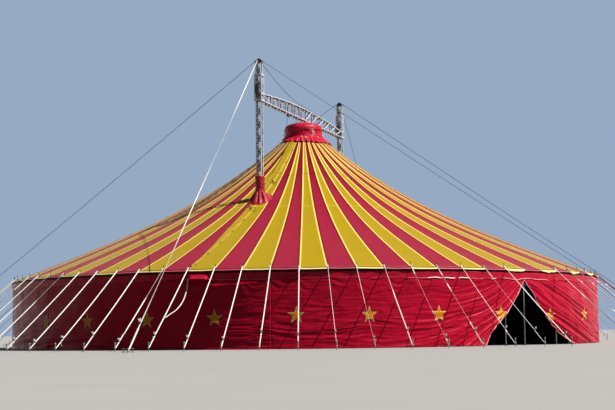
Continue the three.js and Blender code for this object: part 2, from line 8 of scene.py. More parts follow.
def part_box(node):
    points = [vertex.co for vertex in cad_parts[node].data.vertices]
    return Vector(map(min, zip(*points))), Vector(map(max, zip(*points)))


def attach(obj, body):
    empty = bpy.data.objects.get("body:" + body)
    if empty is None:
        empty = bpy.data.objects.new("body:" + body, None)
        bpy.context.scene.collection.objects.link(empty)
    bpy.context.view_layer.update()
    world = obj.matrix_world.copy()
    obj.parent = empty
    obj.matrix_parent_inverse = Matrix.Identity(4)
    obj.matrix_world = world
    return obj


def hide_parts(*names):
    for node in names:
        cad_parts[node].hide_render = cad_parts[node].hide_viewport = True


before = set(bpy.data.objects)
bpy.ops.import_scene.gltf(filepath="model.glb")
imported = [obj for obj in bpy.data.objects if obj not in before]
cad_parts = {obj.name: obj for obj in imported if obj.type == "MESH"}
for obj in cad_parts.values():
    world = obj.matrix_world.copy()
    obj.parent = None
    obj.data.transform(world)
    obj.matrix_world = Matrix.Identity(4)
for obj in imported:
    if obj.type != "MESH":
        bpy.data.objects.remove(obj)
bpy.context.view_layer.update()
scene = bpy.context.scene
print("frame loaded:", len(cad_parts), "nodes")

# Everything round the tent is placed by azimuth, in degrees from the front mast's side towards +X.
tent = {
    "panels": 80,
    "eaveRadius": 14.0,
    "eaveHeight": 3.097,
    "overhang": 0.07,
    "crownEdge": 1.4,
    "crownHeight": 9.76,
    "slopeShare": 0.748,
    "sagPower": 3.256,
    "mastY": 6.113,
    "doorAzimuth": 58.5,
    "openSeam": 63.0,      # the seam in the entrance that has no pole
    "guylessSeam": 58.5,   # its neighbour over the parted curtains, which has a pole but no guy
}
step = 360 / tent["panels"]
roofEdge = tent["eaveRadius"] + tent["overhang"]
seams = [k * step for k in range(tent["panels"]) if k * step != tent["openSeam"]]
guySeams = [a for a in seams if a != tent["guylessSeam"]]


def at(azimuth, radius, height):
    a = np.radians(azimuth)
    return np.stack(np.broadcast_arrays(radius * np.sin(a), -radius * np.cos(a), height), -1).astype(float)


def directions(azimuth):
    # level unit vectors away from the axis, and across that way
    a = math.radians(azimuth)
    return at(azimuth, 1, 0), np.array([math.cos(a), math.sin(a), 0])


def smooth(x, low, high):
    t = np.clip((x - low) / (high - low), 0, 1)
    return t * t * (3 - 2 * t)


def noise(x, y, seed):
    # smooth value noise from -1 to 1, the same on every run
    x, y = np.broadcast_arrays(np.asarray(x, float), np.asarray(y, float))
    i, j = np.floor(x), np.floor(y)
    u, v = x - i, y - j
    u, v = u * u * (3 - 2 * u), v * v * (3 - 2 * v)

    def corner(a, b):
        h = np.sin(a * 127.1 + b * 311.7 + seed * 74.7) * 43758.5453
        return 2 * (h - np.floor(h)) - 1

    low = corner(i, j) * (1 - u) + corner(i + 1, j) * u
    high = corner(i, j + 1) * (1 - u) + corner(i + 1, j + 1) * u
    return low * (1 - v) + high * v


def crest(x, y, seed):
    # narrow ridges with broad hollows between them, as creased cloth has
    return 1 - 2.2 * np.sqrt(noise(x, y, seed) ** 2 + 0.004)


def between(azimuth):
    # 0 at a seam, 1 in the middle of a panel
    t = (np.asarray(azimuth) / step) % 1
    return 4 * t * (1 - t)


def roofCurve(radius):
    s = (tent["eaveRadius"] - radius) / (tent["eaveRadius"] - tent["crownEdge"])
    bend = np.sign(s) * np.abs(s) ** tent["sagPower"]
    rise = tent["crownHeight"] - tent["eaveHeight"]
    return tent["eaveHeight"] + rise * (tent["slopeShare"] * s + (1 - tent["slopeShare"]) * bend)


def flatRadius(azimuth, radius):
    # a straight edge from seam to seam
    t = (np.asarray(azimuth) / step) % 1
    return radius * math.cos(math.radians(step / 2)) / np.cos(np.radians((t - 0.5) * step))


def wallRadius(azimuth, radius, flatness=0.35):
    # hanging cloth, part way between straight runs and a true circle
    return radius * (1 - flatness) + flatRadius(azimuth, radius) * flatness


class Shape:
    # points and faces gathered into one mesh
    def __init__(self):
        self.points, self.faces, self.count = [], [], 0

    def add(self, made):
        points, faces = made
        self.points.append(np.asarray(points, float).reshape(-1, 3))
        self.faces += [[i + self.count for i in face] for face in faces]
        self.count += len(self.points[-1])
        return self

    def piece(self, name, material, sharp=35):
        return makePiece(name, np.concatenate(self.points), self.faces, material, sharp)


def newObject(name, data):
    obj = bpy.data.objects.new(name, data)
    scene.collection.objects.link(obj)
    return obj


def makePiece(name, points, faces, material, sharp=35, closed=True):
    mesh = bpy.data.meshes.new(name)
    mesh.from_pydata(np.asarray(points).tolist(), [], [list(f) for f in faces])
    if closed:
        solid = bmesh.new()
        solid.from_mesh(mesh)
        bmesh.ops.recalc_face_normals(solid, faces=solid.faces)
        solid.to_mesh(mesh)
        solid.free()
    mesh.shade_smooth()
    mesh.set_sharp_from_angle(angle=math.radians(sharp))
    mesh.materials.append(material)
    return newObject(name, mesh)


def gridFaces(rows, columns, ring=False):
    across = columns if ring else columns - 1
    i, j = np.meshgrid(np.arange(rows - 1), np.arange(across), indexing="ij")
    a, b = i * columns + j, i * columns + (j + 1) % columns
    return np.stack([a, b, b + columns, a + columns], -1).reshape(-1, 4)


def makeSheet(name, grid, uv, material, thick=0.004, ring=False, drop=None, centre=(0, 0, 0),
              marks=None):
    # a cloth surface facing away from centre, with its flat coordinates in metres as UV
    rows, columns = grid.shape[:2]
    points, faces = grid.reshape(-1, 3), gridFaces(rows, columns, ring)
    if drop is not None:
        faces = faces[~drop.reshape(-1)[faces].any(1)]
    corners = points[faces]
    normals = np.cross(corners[:, 2] - corners[:, 0], corners[:, 3] - corners[:, 1])
    if (normals * (corners.mean(1) - np.asarray(centre))).sum() < 0:
        faces = faces[:, ::-1]
    used, order = np.unique(faces, return_inverse=True)
    faces = order.reshape(faces.shape)
    obj = makePiece(name, points[used], faces, material, sharp=180, closed=False)
    layer = obj.data.uv_layers.new(name="cloth")
    flat = np.stack([uv[0].reshape(-1), uv[1].reshape(-1)], -1)[used]
    layer.data.foreach_set("uv", flat[faces.reshape(-1)].astype(np.float32).reshape(-1))
    for label, values in (marks or {}).items():
        layer = obj.data.attributes.new(label, "FLOAT", "POINT")
        layer.data.foreach_set("value", values.reshape(-1)[used].astype(np.float32))
    solid = obj.modifiers.new("thickness", "SOLIDIFY")
    solid.thickness, solid.offset = thick, -1
    return obj


def tube(path, radius, sides=8, loop=False):
    path = np.asarray(path, float)
    radius = np.broadcast_to(radius, len(path))
    ahead = np.roll(path, -1, 0) - np.roll(path, 1, 0)
    if not loop:
        ahead[0], ahead[-1] = path[1] - path[0], path[-1] - path[-2]
    ahead /= np.linalg.norm(ahead, axis=1)[:, None]
    side = np.cross(ahead[0], (0, 0, 1) if abs(ahead[0][2]) < 0.9 else (1, 0, 0))
    angles = np.arange(sides) * 2 * math.pi / sides
    rings = []
    for point, way, size in zip(path, ahead, radius):
        side = side - way * (side @ way)
        side /= np.linalg.norm(side)
        up = np.cross(way, side)
        rings.append(point + size * (np.cos(angles)[:, None] * side + np.sin(angles)[:, None] * up))
    faces = gridFaces(len(path), sides, True).tolist()
    if loop:
        last = (len(path) - 1) * sides
        faces += [[last + j, last + (j + 1) % sides, (j + 1) % sides, j] for j in range(sides)]
    else:
        faces += [list(range(sides))[::-1], list(range((len(path) - 1) * sides, len(path) * sides))]
    return np.concatenate(rings), faces


def rod(a, b, radius, sides=8):
    return tube([a, b], radius, sides)


def ringBar(centre, u, v, radius, count=12, sides=6):
    # a closed bar that follows an ellipse, u and v being its half axes
    turn = np.linspace(0, 2 * math.pi, count, endpoint=False)[:, None]
    path = np.asarray(centre, float) + np.cos(turn) * u + np.sin(turn) * v
    return tube(path, radius, sides, loop=True)


def box(size, centre, turn=0.0, lean=0.0):
    # a block turned about Z and first leant about X, in degrees
    x, y, z = (s / 2 for s in size)
    p = np.array([[i * x, j * y, k * z] for k in (-1, 1) for j in (-1, 1) for i in (-1, 1)])
    c, s = math.cos(math.radians(lean)), math.sin(math.radians(lean))
    p = p @ np.array([[1, 0, 0], [0, c, -s], [0, s, c]]).T
    c, s = math.cos(math.radians(turn)), math.sin(math.radians(turn))
    p = p @ np.array([[c, -s, 0], [s, c, 0], [0, 0, 1]]).T
    faces = [[0, 2, 3, 1], [4, 5, 7, 6], [0, 1, 5, 4], [2, 6, 7, 3], [0, 4, 6, 2], [1, 3, 7, 5]]
    return p + np.asarray(centre, float), faces


def lathe(profile, sides, centre=(0, 0, 0)):
    # a solid turned from an outline of radius and height pairs that starts and ends on the axis
    angles = np.arange(sides) * 2 * math.pi / sides
    inner = profile[1:-1]
    rings = [np.stack([r * np.cos(angles), r * np.sin(angles), np.full(sides, z)], 1) for r, z in inner]
    count = len(inner) * sides
    points = np.concatenate(rings + [[[0, 0, profile[0][1]]], [[0, 0, profile[-1][1]]]])
    faces = gridFaces(len(inner), sides, True).tolist()
    for j in range(sides):
        k = (j + 1) % sides
        faces.append([count, k, j])
        faces.append([count + 1, count - sides + j, count - sides + k])
    return points + np.asarray(centre, float), faces


def disc(radius, low, high):
    return [(0, low), (radius, low), (radius, high), (0, high)]


def wheel(profile, sides, centre):
    # a solid turned like lathe's, on an axle along X
    points, faces = lathe(profile, sides)
    return points[:, [2, 0, 1]] + np.asarray(centre, float), faces


def band(path, side, width, thick):
    # a flat strap along path, its width along the unit vectors in side
    path, side = np.asarray(path, float), np.asarray(side, float)
    ahead = np.gradient(path, axis=0)
    ahead /= np.linalg.norm(ahead, axis=1)[:, None]
    side = side - ahead * (side * ahead).sum(1)[:, None]
    side /= np.linalg.norm(side, axis=1)[:, None]
    up = np.cross(side, ahead)
    corners = ((-1, -1), (1, -1), (1, 1), (-1, 1))
    rings = [path + side * i * width / 2 + up * j * thick / 2 for i, j in corners]
    points = np.stack(rings, 1).reshape(-1, 3)
    faces = gridFaces(len(path), 4, True).tolist()
    faces += [[3, 2, 1, 0], [len(points) - 4 + j for j in range(4)]]
    return points, faces


def rounded(obj, width):
    bevel = obj.modifiers.new("edges", "BEVEL")
    bevel.width, bevel.segments, bevel.limit_method = width, 2, "ANGLE"
    return obj


def settle(obj, slotName, *nodes):
    # the whole tent stands on one body
    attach(obj, "root")
    if nodes:
        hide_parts(*nodes)
    return obj


# Shader helpers. Each finds its node tree by the sockets that it is given.
def paint(red, green, blue):
    # a colour given as it looks on screen, 0 to 255
    def straight(c):
        c = c / 255
        return c / 12.92 if c <= 0.04045 else ((c + 0.055) / 1.055) ** 2.4
    return (straight(red), straight(green), straight(blue), 1.0)


def feed(socket, value):
    if isinstance(value, bpy.types.NodeSocket):
        socket.id_data.links.new(value, socket)
    else:
        socket.default_value = value


def feedNamed(node, **values):
    # an input's name with its spaces left out
    for socket in node.inputs:
        label = socket.name.replace(" ", "")
        if label in values:
            feed(socket, values[label])
    return node.outputs


def addNode(kind, *values, operation=None):
    near = next(v for v in values if isinstance(v, bpy.types.NodeSocket))
    node = near.id_data.nodes.new(kind)
    if operation:
        node.operation = operation
    for socket, value in zip(node.inputs, values):
        feed(socket, value)
    return node.outputs


def maths(operation, *values):
    return addNode("ShaderNodeMath", *values, operation=operation)[0]


def plus(a, b):
    return maths("ADD", a, b)


def minus(a, b):
    return maths("SUBTRACT", a, b)


def times(a, b):
    return maths("MULTIPLY", a, b)


def remainder(a, b):
    return maths("FLOORED_MODULO", a, b)


def gap(a, b):
    return maths("ABSOLUTE", minus(a, b))


def lengthOf(x, y):
    return maths("SQRT", plus(times(x, x), times(y, y)))


def split(vector):
    return addNode("ShaderNodeSeparateXYZ", vector)


def ramp(value, low, high, toLow=0.0, toHigh=1.0):
    return addNode("ShaderNodeMapRange", value, low, high, toLow, toHigh)[0]


def mixed(factor, a, b, share=1.0):
    # from a towards b by the factor, of which only the share counts
    factor = factor if share == 1.0 else times(factor, share)
    node = factor.id_data.nodes.new("ShaderNodeMix")
    node.data_type = "RGBA"
    for index, value in ((0, factor), (6, a), (7, b)):
        feed(node.inputs[index], value)
    return node.outputs[2]


def noiseField(vector, scale, detail=3.0, rough=0.55):
    node = vector.id_data.nodes.new("ShaderNodeTexNoise")
    return feedNamed(node, Vector=vector, Scale=scale, Detail=detail, Roughness=rough)[0]


def stretched(vector, scale):
    return feedNamed(vector.id_data.nodes.new("ShaderNodeMapping"), Vector=vector, Scale=scale)[0]


def newGroup(name, inputs, outputs):
    # an input given as None is a vector, and one with a number is a value
    tree = bpy.data.node_groups.new(name, "ShaderNodeTree")
    for label, value in inputs.items():
        kind = "NodeSocketVector" if value is None else "NodeSocketFloat"
        socket = tree.interface.new_socket(label, in_out="INPUT", socket_type=kind)
        if value is not None:
            socket.default_value = value
    for label in outputs:
        tree.interface.new_socket(label, in_out="OUTPUT", socket_type="NodeSocketFloat")
    return tree, tree.nodes.new("NodeGroupInput").outputs, tree.nodes.new("NodeGroupOutput").inputs


def useGroup(group, **values):
    # the first value is always a socket
    node = next(iter(values.values())).id_data.nodes.new("ShaderNodeGroup")
    node.node_tree = group
    return feedNamed(node, **values)


def weatherGroup():
    # broad dirt, and streaks that run down the surface
    tree, given, out = newGroup("weathering", {"Place": None, "Scale": 1.0, "Streaks": 0.5},
                                ["Dirt", "Height"])
    broad = noiseField(given["Place"], given["Scale"], 4.0, 0.6)
    runs = noiseField(stretched(given["Place"], (6.0, 6.0, 0.35)), given["Scale"], 3.0, 0.5)
    streaks = times(ramp(runs, 0.5, 0.75), given["Streaks"])
    feed(out["Dirt"], maths("MAXIMUM", ramp(broad, 0.5, 0.8), streaks))
    feed(out["Height"], broad)
    return tree


def weaveGroup():
    # base cloth showing through its coating, and the creases left by folding it away
    tree, given, out = newGroup("coatedWeave", {"Flat": None, "Threads": 420.0, "Creases": 1.0},
                                ["Height", "Crease"])
    threads = times(*[maths("SINE", times(axis, given["Threads"])) for axis in split(given["Flat"])[:2]])
    drift = feedNamed(tree.nodes.new("ShaderNodeTexNoise"), Vector=given["Flat"], Scale=0.9)["Color"]
    wander = addNode("ShaderNodeVectorMath", drift, (0.5, 0.35, 0.0), given["Flat"],
                     operation="MULTIPLY_ADD")[0]
    soft = noiseField(stretched(wander, (0.9, 5.0, 1.0)), 2.2, 5.0, 0.6)
    fine = noiseField(stretched(wander, (2.2, 9.0, 1.0)), 2.6, 4.0, 0.6)
    crease = gap(soft, 0.5)
    sharp = times(minus(0.25, crease), given["Creases"])
    total = maths("MULTIPLY_ADD", fine, 0.35, times(sharp, 1.2))
    feed(out["Height"], maths("MULTIPLY_ADD", threads, 0.02, total))
    feed(out["Crease"], ramp(crease, 0.0, 0.05, 1.0, 0.0))
    return tree


def wearGroup():
    # scuffs on metal: bright rubs and rust spots
    tree, given, out = newGroup("metalWear", {"Place": None, "Scale": 6.0}, ["Rub", "Rust", "Height"])
    small = noiseField(given["Place"], times(given["Scale"], 3.0), 4.0, 0.65)
    large = noiseField(given["Place"], given["Scale"], 3.0, 0.6)
    feed(out["Rub"], ramp(small, 0.45, 0.7))
    feed(out["Rust"], ramp(times(large, small), 0.27, 0.42))
    feed(out["Height"], small)
    return tree


weather, weave, wear = weatherGroup(), weaveGroup(), wearGroup()


def newMaterial(name, roughness, metallic=0.0, sheen=0.0, specular=0.5):
    material = bpy.data.materials.new(name)
    material.use_nodes = True
    nodes = material.node_tree.nodes
    shader = nodes["Principled BSDF"]
    feedNamed(shader, Roughness=roughness, Metallic=metallic, SpecularIORLevel=specular, SheenWeight=sheen,
              SheenRoughness=0.28)
    return material, shader, nodes.new("ShaderNodeTexCoord").outputs


def dress(shader, colour, height, distance, strength, tone=None, rough=(0.32, 0.5)):
    # colour, bump and, where a tone is given, a roughness that wanders with it
    feed(shader.inputs["Base Color"], colour)
    if tone is not None:
        feed(shader.inputs["Roughness"], ramp(tone, 0.3, 0.7, *rough))
    bump = colour.id_data.nodes.new("ShaderNodeBump")
    feed(shader.inputs["Normal"], feedNamed(bump, Strength=strength, Distance=distance, Height=height)[0])


stripeLook = {
    "yellow": paint(165, 139, 0),
    "yellowEdge": paint(244, 206, 118),
    "red": paint(148, 14, 52),
    "redEdge": paint(100, 0, 8),
    "redHem": paint(190, 96, 110),
    "yellowHem": paint(255, 244, 176),
    "seamWidth": 0.068,
    "seamNarrowing": 0.023,  # by the distance from the crown's axis
    "hemWidth": 0.025,
    "weldRadius": 6.85,
    "soil": paint(96, 72, 44),
    "sheenTint": (1.0, 0.88, 0.62, 1.0),
}


def stripeGroup():
    # stripes, seams and hem from the place alone, so that they run true on every panel
    tree, given, out = newGroup("tentStripes", {"Place": None}, ["Yellow", "Seam", "Hem", "Weld"])
    x, y = split(given["Place"])[:2]
    radius = lengthOf(x, y)
    panel = math.radians(step)
    count = maths("DIVIDE", maths("ARCTAN2", x, times(y, -1.0)), panel)
    share = maths("FRACT", count)
    odd = remainder(maths("FLOOR", count), 2.0)
    nearest = maths("MINIMUM", share, minus(1.0, share))
    reach = times(times(nearest, panel), radius)
    width = maths("MINIMUM", stripeLook["seamWidth"], times(radius, stripeLook["seamNarrowing"]))
    feed(out["Yellow"], maths("LESS_THAN", odd, 0.5))
    feed(out["Seam"], ramp(maths("DIVIDE", reach, width), 0.8, 1.0, 1.0, 0.0))
    offAxis = maths("COSINE", times(minus(share, 0.5), panel))
    flatness = times(times(radius, offAxis), 1 / math.cos(panel / 2))
    inner = roofEdge - stripeLook["hemWidth"]
    feed(out["Hem"], ramp(flatness, inner - 0.004, inner + 0.004))
    feed(out["Weld"], ramp(gap(radius, stripeLook["weldRadius"]), 0.012, 0.03, 1.0, 0.0))
    return tree


stripes = stripeGroup()


def canopyMaterial(name, onlyYellow=False):
    material, shader, coords = newMaterial(name, 0.42, sheen=0.0 if onlyYellow else 0.36, specular=0.20)
    shader.inputs["Sheen Tint"].default_value = stripeLook["sheenTint"]
    place = coords["Object"]
    marks = useGroup(stripes, Place=place)
    soil = useGroup(weather, Place=place, Scale=0.9, Streaks=0.35)
    cloth = useGroup(weave, Flat=coords["UV"], Creases=0.5)
    if onlyYellow:
        colour = mixed(cloth["Crease"], stripeLook["yellow"], stripeLook["yellowEdge"], 0.25)
    else:
        # near the crown the red gores are painted darker: partly their dark seams crowding together, partly
        # painted shadow of the seams' thick welded edges
        nearCrown = ramp(lengthOf(*split(place)[:2]), 1.6, 6.0, 0.72, 0.0)
        red = mixed(nearCrown, stripeLook["red"], stripeLook["redEdge"])
        edge = mixed(marks["Yellow"], stripeLook["redEdge"], stripeLook["yellowEdge"])
        colour = mixed(marks["Seam"], mixed(marks["Yellow"], red, stripeLook["yellow"]), edge)
        # the hem's pale line is a painted highlight, where the turned-down edge catches the sun
        hem = mixed(marks["Yellow"], stripeLook["redHem"], stripeLook["yellowHem"])
        colour = mixed(marks["Hem"], colour, hem)
        colour = mixed(marks["Weld"], colour, edge, 0.35)
    colour = mixed(soil["Dirt"], colour, stripeLook["soil"], 0.16)
    colour = mixed(ramp(noiseField(place, 7.0, 1.0), 0.76, 0.79), colour, stripeLook["soil"], 0.7)
    height = plus(cloth["Height"], times(marks["Seam"], 0.25))
    dress(shader, colour, height, 0.010, 0.6, soil["Height"], (0.36, 0.5))
    return material


curtainLook = {
    "cloth": paint(186, 8, 48),
    "shade": paint(116, 0, 20),
    "rub": paint(222, 36, 60),
    "star": paint(220, 148, 22),
    "starEdge": paint(250, 222, 140),
    "starRadius": 0.35,
    "starInner": 0.385,  # of the inner corners, as a share of the points' distance
    "starHeight": 1.17,
    "starCount": 29,
    "starFirst": 4.5,
    "welds": (0.93, 1.88),
    "hem": 0.09,
}


def starGroup():
    # five-pointed stars at even distances along the cloth; Depth is how far inside the outline a place is
    tree, given, out = newGroup("starRow", {"Flat": None, "Radius": 0.3, "Spacing": 3.0, "First": 0.0,
                                            "Height": 1.2}, ["Depth"])
    flat = split(given["Flat"])
    along = plus(minus(flat[0], given["First"]), times(given["Spacing"], 0.5))
    x = minus(remainder(along, given["Spacing"]), times(given["Spacing"], 0.5))
    y = minus(flat[1], given["Height"])
    fifth = 2 * math.pi / 5
    folded = remainder(plus(maths("ARCTAN2", x, y), fifth / 2), fifth)
    angle = gap(folded, fifth / 2)
    reach = lengthOf(x, y)
    # the outline's straight edge runs from a point of the star at (1, 0) to an inner corner
    inner = curtainLook["starInner"]
    cornerX, cornerY = inner * math.cos(fifth / 2), inner * math.sin(fifth / 2)
    length = math.hypot(cornerY, cornerX - 1)
    normalX, normalY = cornerY / length, (1 - cornerX) / length
    dot = plus(times(times(reach, maths("COSINE", angle)), normalX),
               times(times(reach, maths("SINE", angle)), normalY))
    feed(out["Depth"], minus(times(given["Radius"], normalX), dot))
    return tree


stars = starGroup()


def curtainMaterial(name):
    material, shader, coords = newMaterial(name, 0.38, specular=0.09)
    flat = coords["UV"]
    along, up = split(flat)[:2]
    soil = useGroup(weather, Place=coords["Object"], Scale=1.3, Streaks=0.5)
    cloth = useGroup(weave, Flat=flat, Creases=1.0)
    colour = mixed(soil["Dirt"], curtainLook["cloth"], curtainLook["shade"], 0.55)
    # lighter along the creases: partly wear, partly a painted highlight on the wrinkles
    colour = mixed(cloth["Crease"], colour, curtainLook["rub"], 0.30)
    height = cloth["Height"]
    for level in curtainLook["welds"]:
        weld = ramp(gap(up, level), 0.014, 0.022, 1.0, 0.0)
        colour = mixed(weld, colour, curtainLook["rub"], 0.3)
        height = maths("MULTIPLY_ADD", weld, 0.2, height)
    upright = ramp(remainder(along, math.radians(2 * step) * tent["eaveRadius"]), 0.022, 0.030, 1.0, 0.0)
    colour = mixed(upright, colour, curtainLook["shade"], 0.2)
    hem = ramp(up, curtainLook["hem"], curtainLook["hem"] + 0.01, 1.0, 0.0)
    colour = mixed(hem, colour, curtainLook["shade"], 0.45)
    star = useGroup(stars, Flat=flat, Radius=curtainLook["starRadius"], Height=curtainLook["starHeight"],
                    Spacing=2 * math.pi * tent["eaveRadius"] / curtainLook["starCount"],
                    First=math.radians(curtainLook["starFirst"]) * tent["eaveRadius"])["Depth"]
    inside = ramp(star, -0.002, 0.002)
    gold = mixed(ramp(star, 0.012, 0.03, 1.0, 0.0), curtainLook["star"], curtainLook["starEdge"], 0.7)
    colour = mixed(ramp(star, -0.03, 0.0), colour, curtainLook["shade"], 0.7)
    colour = mixed(inside, colour, gold)
    height = maths("MULTIPLY_ADD", inside, 0.25, height)
    dress(shader, colour, height, 0.009, 0.7, soil["Height"], (0.34, 0.52))
    return material


def trimMaterial(name, colour, dark, pale, specular=0.35, top=None, mark=None):
    # plain coated cloth for cover, boots, valance and small sheets
    material, shader, coords = newMaterial(name, 0.38, specular=specular)
    soil = useGroup(weather, Place=coords["Object"], Scale=2.2, Streaks=0.6)
    cloth = useGroup(weave, Flat=coords["UV"], Creases=1.2)
    mix = mixed(soil["Dirt"], paint(*colour), paint(*dark), 0.5)
    mix = mixed(cloth["Crease"], mix, paint(*pale), 0.3)
    if top:  # the strip under the eave, painted near-black as the eave's shadow
        mix = mixed(ramp(split(coords["UV"])[1], top - 0.02, top, 0.0, 0.96), mix, paint(10, 1, 3))
    if mark:  # painted highlight where the edge is turned up to the sun
        node = material.node_tree.nodes.new("ShaderNodeAttribute")
        node.attribute_name = mark
        mix = mixed(node.outputs["Fac"], mix, paint(244, 220, 222))
    dress(shader, mix, cloth["Height"], 0.012, 0.9, soil["Height"])
    return material


def metalMaterial(name, colour, dark, rubbed, roughness, metallic, rust=0.3, scale=6.0):
    material, shader, coords = newMaterial(name, roughness, metallic)
    marks = useGroup(wear, Place=coords["Object"], Scale=scale)
    mix = mixed(marks["Rub"], paint(*dark), paint(*colour))
    mix = mixed(marks["Rub"], mix, paint(*rubbed), 0.25)
    mix = mixed(marks["Rust"], mix, paint(104, 62, 38), rust)
    dress(shader, mix, marks["Height"], 0.002, 0.5, marks["Height"], (roughness - 0.1, roughness + 0.15))
    return material


def webbingMaterial(name, colour, dark, ribs):
    material, shader, coords = newMaterial(name, 0.75, sheen=0.3)
    place = coords["Object"]
    soil = useGroup(weather, Place=place, Scale=5.0, Streaks=0.6)
    wave = material.node_tree.nodes.new("ShaderNodeTexWave")
    wave.bands_direction = "Z"
    weft = feedNamed(wave, Vector=place, Scale=ribs)[1]
    mix = mixed(soil["Dirt"], paint(*colour), paint(*dark), 0.45)
    dress(shader, mix, plus(weft, soil["Height"]), 0.0015, 0.8)
    return material


canopyCloth = canopyMaterial("canopyCloth")
flapCloth = canopyMaterial("flapCloth", onlyYellow=True)
curtainCloth = curtainMaterial("curtainCloth")
# the valance's top strip is painted near-black as the shadow under the eave
valanceCloth = trimMaterial("valanceCloth", (204, 16, 54), (120, 0, 22), (236, 64, 88), 0.13, top=0.30,
                            mark="turnedUpHighlight")
trimCloth = trimMaterial("trimCloth", (186, 2, 44), (84, 0, 22), (238, 84, 112), 0.2)
bootCloth = trimMaterial("bootCloth", (160, 0, 30), (62, 0, 14), (236, 96, 120), 0.24)
# darker red, partly painted shadow lines where its cords sit on the cover
bandCloth = trimMaterial("bandCloth", (150, 8, 30), (90, 4, 18), (200, 50, 70))
paleHem = trimMaterial("paleHem", (244, 158, 172), (190, 70, 92), (250, 214, 220))
# darkened as painted shade, for the poles that stand in the dim doorway
dimmedPoleSteel = metalMaterial("dimmedPoleSteel", (128, 132, 137), (84, 88, 93), (176, 180, 184), 0.42, 0.8)
mastSteel = metalMaterial("mastSteel", (206, 208, 209), (112, 114, 119), (244, 244, 242), 0.45, 0.15, 0.1)
# tinted blue to offset the red light the roof throws back on it
bridgeSteel = metalMaterial("bridgeSteel", (232, 238, 246), (196, 202, 212), (250, 252, 255), 0.45, 0.1, 0.03)
# the braces are painted dark as the lattice's shade, while the chords stay pale
braceSteel = metalMaterial("braceSteel", (66, 70, 78), (30, 32, 37), (150, 154, 160), 0.45, 0.2, 0.05)
darkPaint = metalMaterial("darkPaint", (44, 46, 50), (24, 25, 28), (110, 112, 116), 0.45, 0.1, 0.2)
wireRope = metalMaterial("wireRope", (48, 52, 60), (28, 30, 34), (90, 94, 100), 0.5, 0.3, 0.1, 14.0)
strapCloth = webbingMaterial("strapCloth", (238, 236, 228), (160, 150, 132), 60.0)
ropeCloth = webbingMaterial("ropeCloth", (38, 40, 46), (22, 22, 26), 40.0)
laceCord = webbingMaterial("laceCord", (40, 38, 36), (24, 22, 20), 60.0)
print("materials ready")


# Geometry Nodes: puts one part on every point, turned as its attribute says.
def placingTree():
    tree = bpy.data.node_groups.new("placeParts", "GeometryNodeTree")
    for label, kind in (("Points", "Geometry"), ("Part", "Object"), ("Size", "Float"), ("Jitter", "Float"),
                        ("Seed", "Int"), ("Finish", "Material")):
        tree.interface.new_socket(label, in_out="INPUT", socket_type="NodeSocket" + kind)
    tree.interface.new_socket("Parts", in_out="OUTPUT", socket_type="NodeSocketGeometry")
    kinds = ("NodeGroupInput", "NodeGroupOutput", "GeometryNodeObjectInfo", "GeometryNodeInputNamedAttribute",
             "FunctionNodeRandomValue", "ShaderNodeMath", "ShaderNodeVectorMath", "FunctionNodeEulerToRotation",
             "GeometryNodeInstanceOnPoints", "GeometryNodeRealizeInstances", "GeometryNodeSetMaterial")
    nodes = [tree.nodes.new(kind) for kind in kinds]
    given, out, part, turn, spread, least, total, euler, spot, real, finish = nodes
    turn.data_type = spread.data_type = "FLOAT_VECTOR"
    turn.inputs["Name"].default_value = "turn"
    least.operation = "MULTIPLY"
    least.inputs[1].default_value = -1.0
    for source, output, target, entry in (
            (given, "Points", spot, "Points"), (given, "Part", part, "Object"),
            (part, "Geometry", spot, "Instance"), (given, "Size", spot, "Scale"),
            (given, "Jitter", least, 0), (least, 0, spread, "Min"), (given, "Jitter", spread, "Max"),
            (given, "Seed", spread, "Seed"), (turn, "Attribute", total, 0), (spread, "Value", total, 1),
            (total, 0, euler, 0), (euler, 0, spot, "Rotation"), (spot, 0, real, 0),
            (real, 0, finish, "Geometry"), (given, "Finish", finish, "Material"), (finish, 0, out, "Parts")):
        tree.links.new(source.outputs[output], target.inputs[entry])
    return tree


placeParts = placingTree()


def runNodes(name, carrier, tree, values):
    # runs the tree on the carrier and keeps the result as a plain mesh
    modifier = carrier.modifiers.new("nodes", "NODES")
    modifier.node_group = tree
    for item in tree.interface.items_tree:
        if item.in_out == "INPUT" and item.name in values:
            modifier[item.identifier] = values[item.name]
    bpy.context.view_layer.update()
    result = bpy.data.meshes.new_from_object(carrier.evaluated_get(bpy.context.evaluated_depsgraph_get()))
    carrier.modifiers.remove(modifier)
    bpy.data.objects.remove(carrier)
    result.name = name
    return newObject(name, result)


def place(name, shape, spots, material, size=1.0, jitter=0.0, seed=1):
    # spots: pairs of a place and its three turns in radians
    part = shape.piece(name + "Part", material)
    mesh = bpy.data.meshes.new(name + "Points")
    mesh.from_pydata([tuple(map(float, p)) for p, _ in spots], [], [])
    turns = mesh.attributes.new("turn", "FLOAT_VECTOR", "POINT")
    turns.data.foreach_set("vector", [float(a) for _, t in spots for a in t])
    made = runNodes(name, newObject(name + "Points", mesh), placeParts,
                    {"Part": part, "Size": size, "Jitter": jitter, "Seed": seed, "Finish": material})
    bpy.data.objects.remove(part)
    return made


def standing(azimuths, radius, height):
    # upright spots on a circle, turned to face outwards
    return [(at(a, radius, height), (0, 0, math.radians(a))) for a in azimuths]


# The camera stands low, 63 m from the tent's axis, and looks slightly up; its focal length is in
# pixels of the frame.
cameraSpot = {"azimuth": 18.9, "distance": 63.017, "height": 0.691, "pitch": 0.0978, "yaw": 0.0026,
              "roll": -0.0118, "focal": 1280.8, "frameWidth": 615, "sensor": 36}


def swung(a, b, angle):
    return a * math.cos(angle) + b * math.sin(angle)


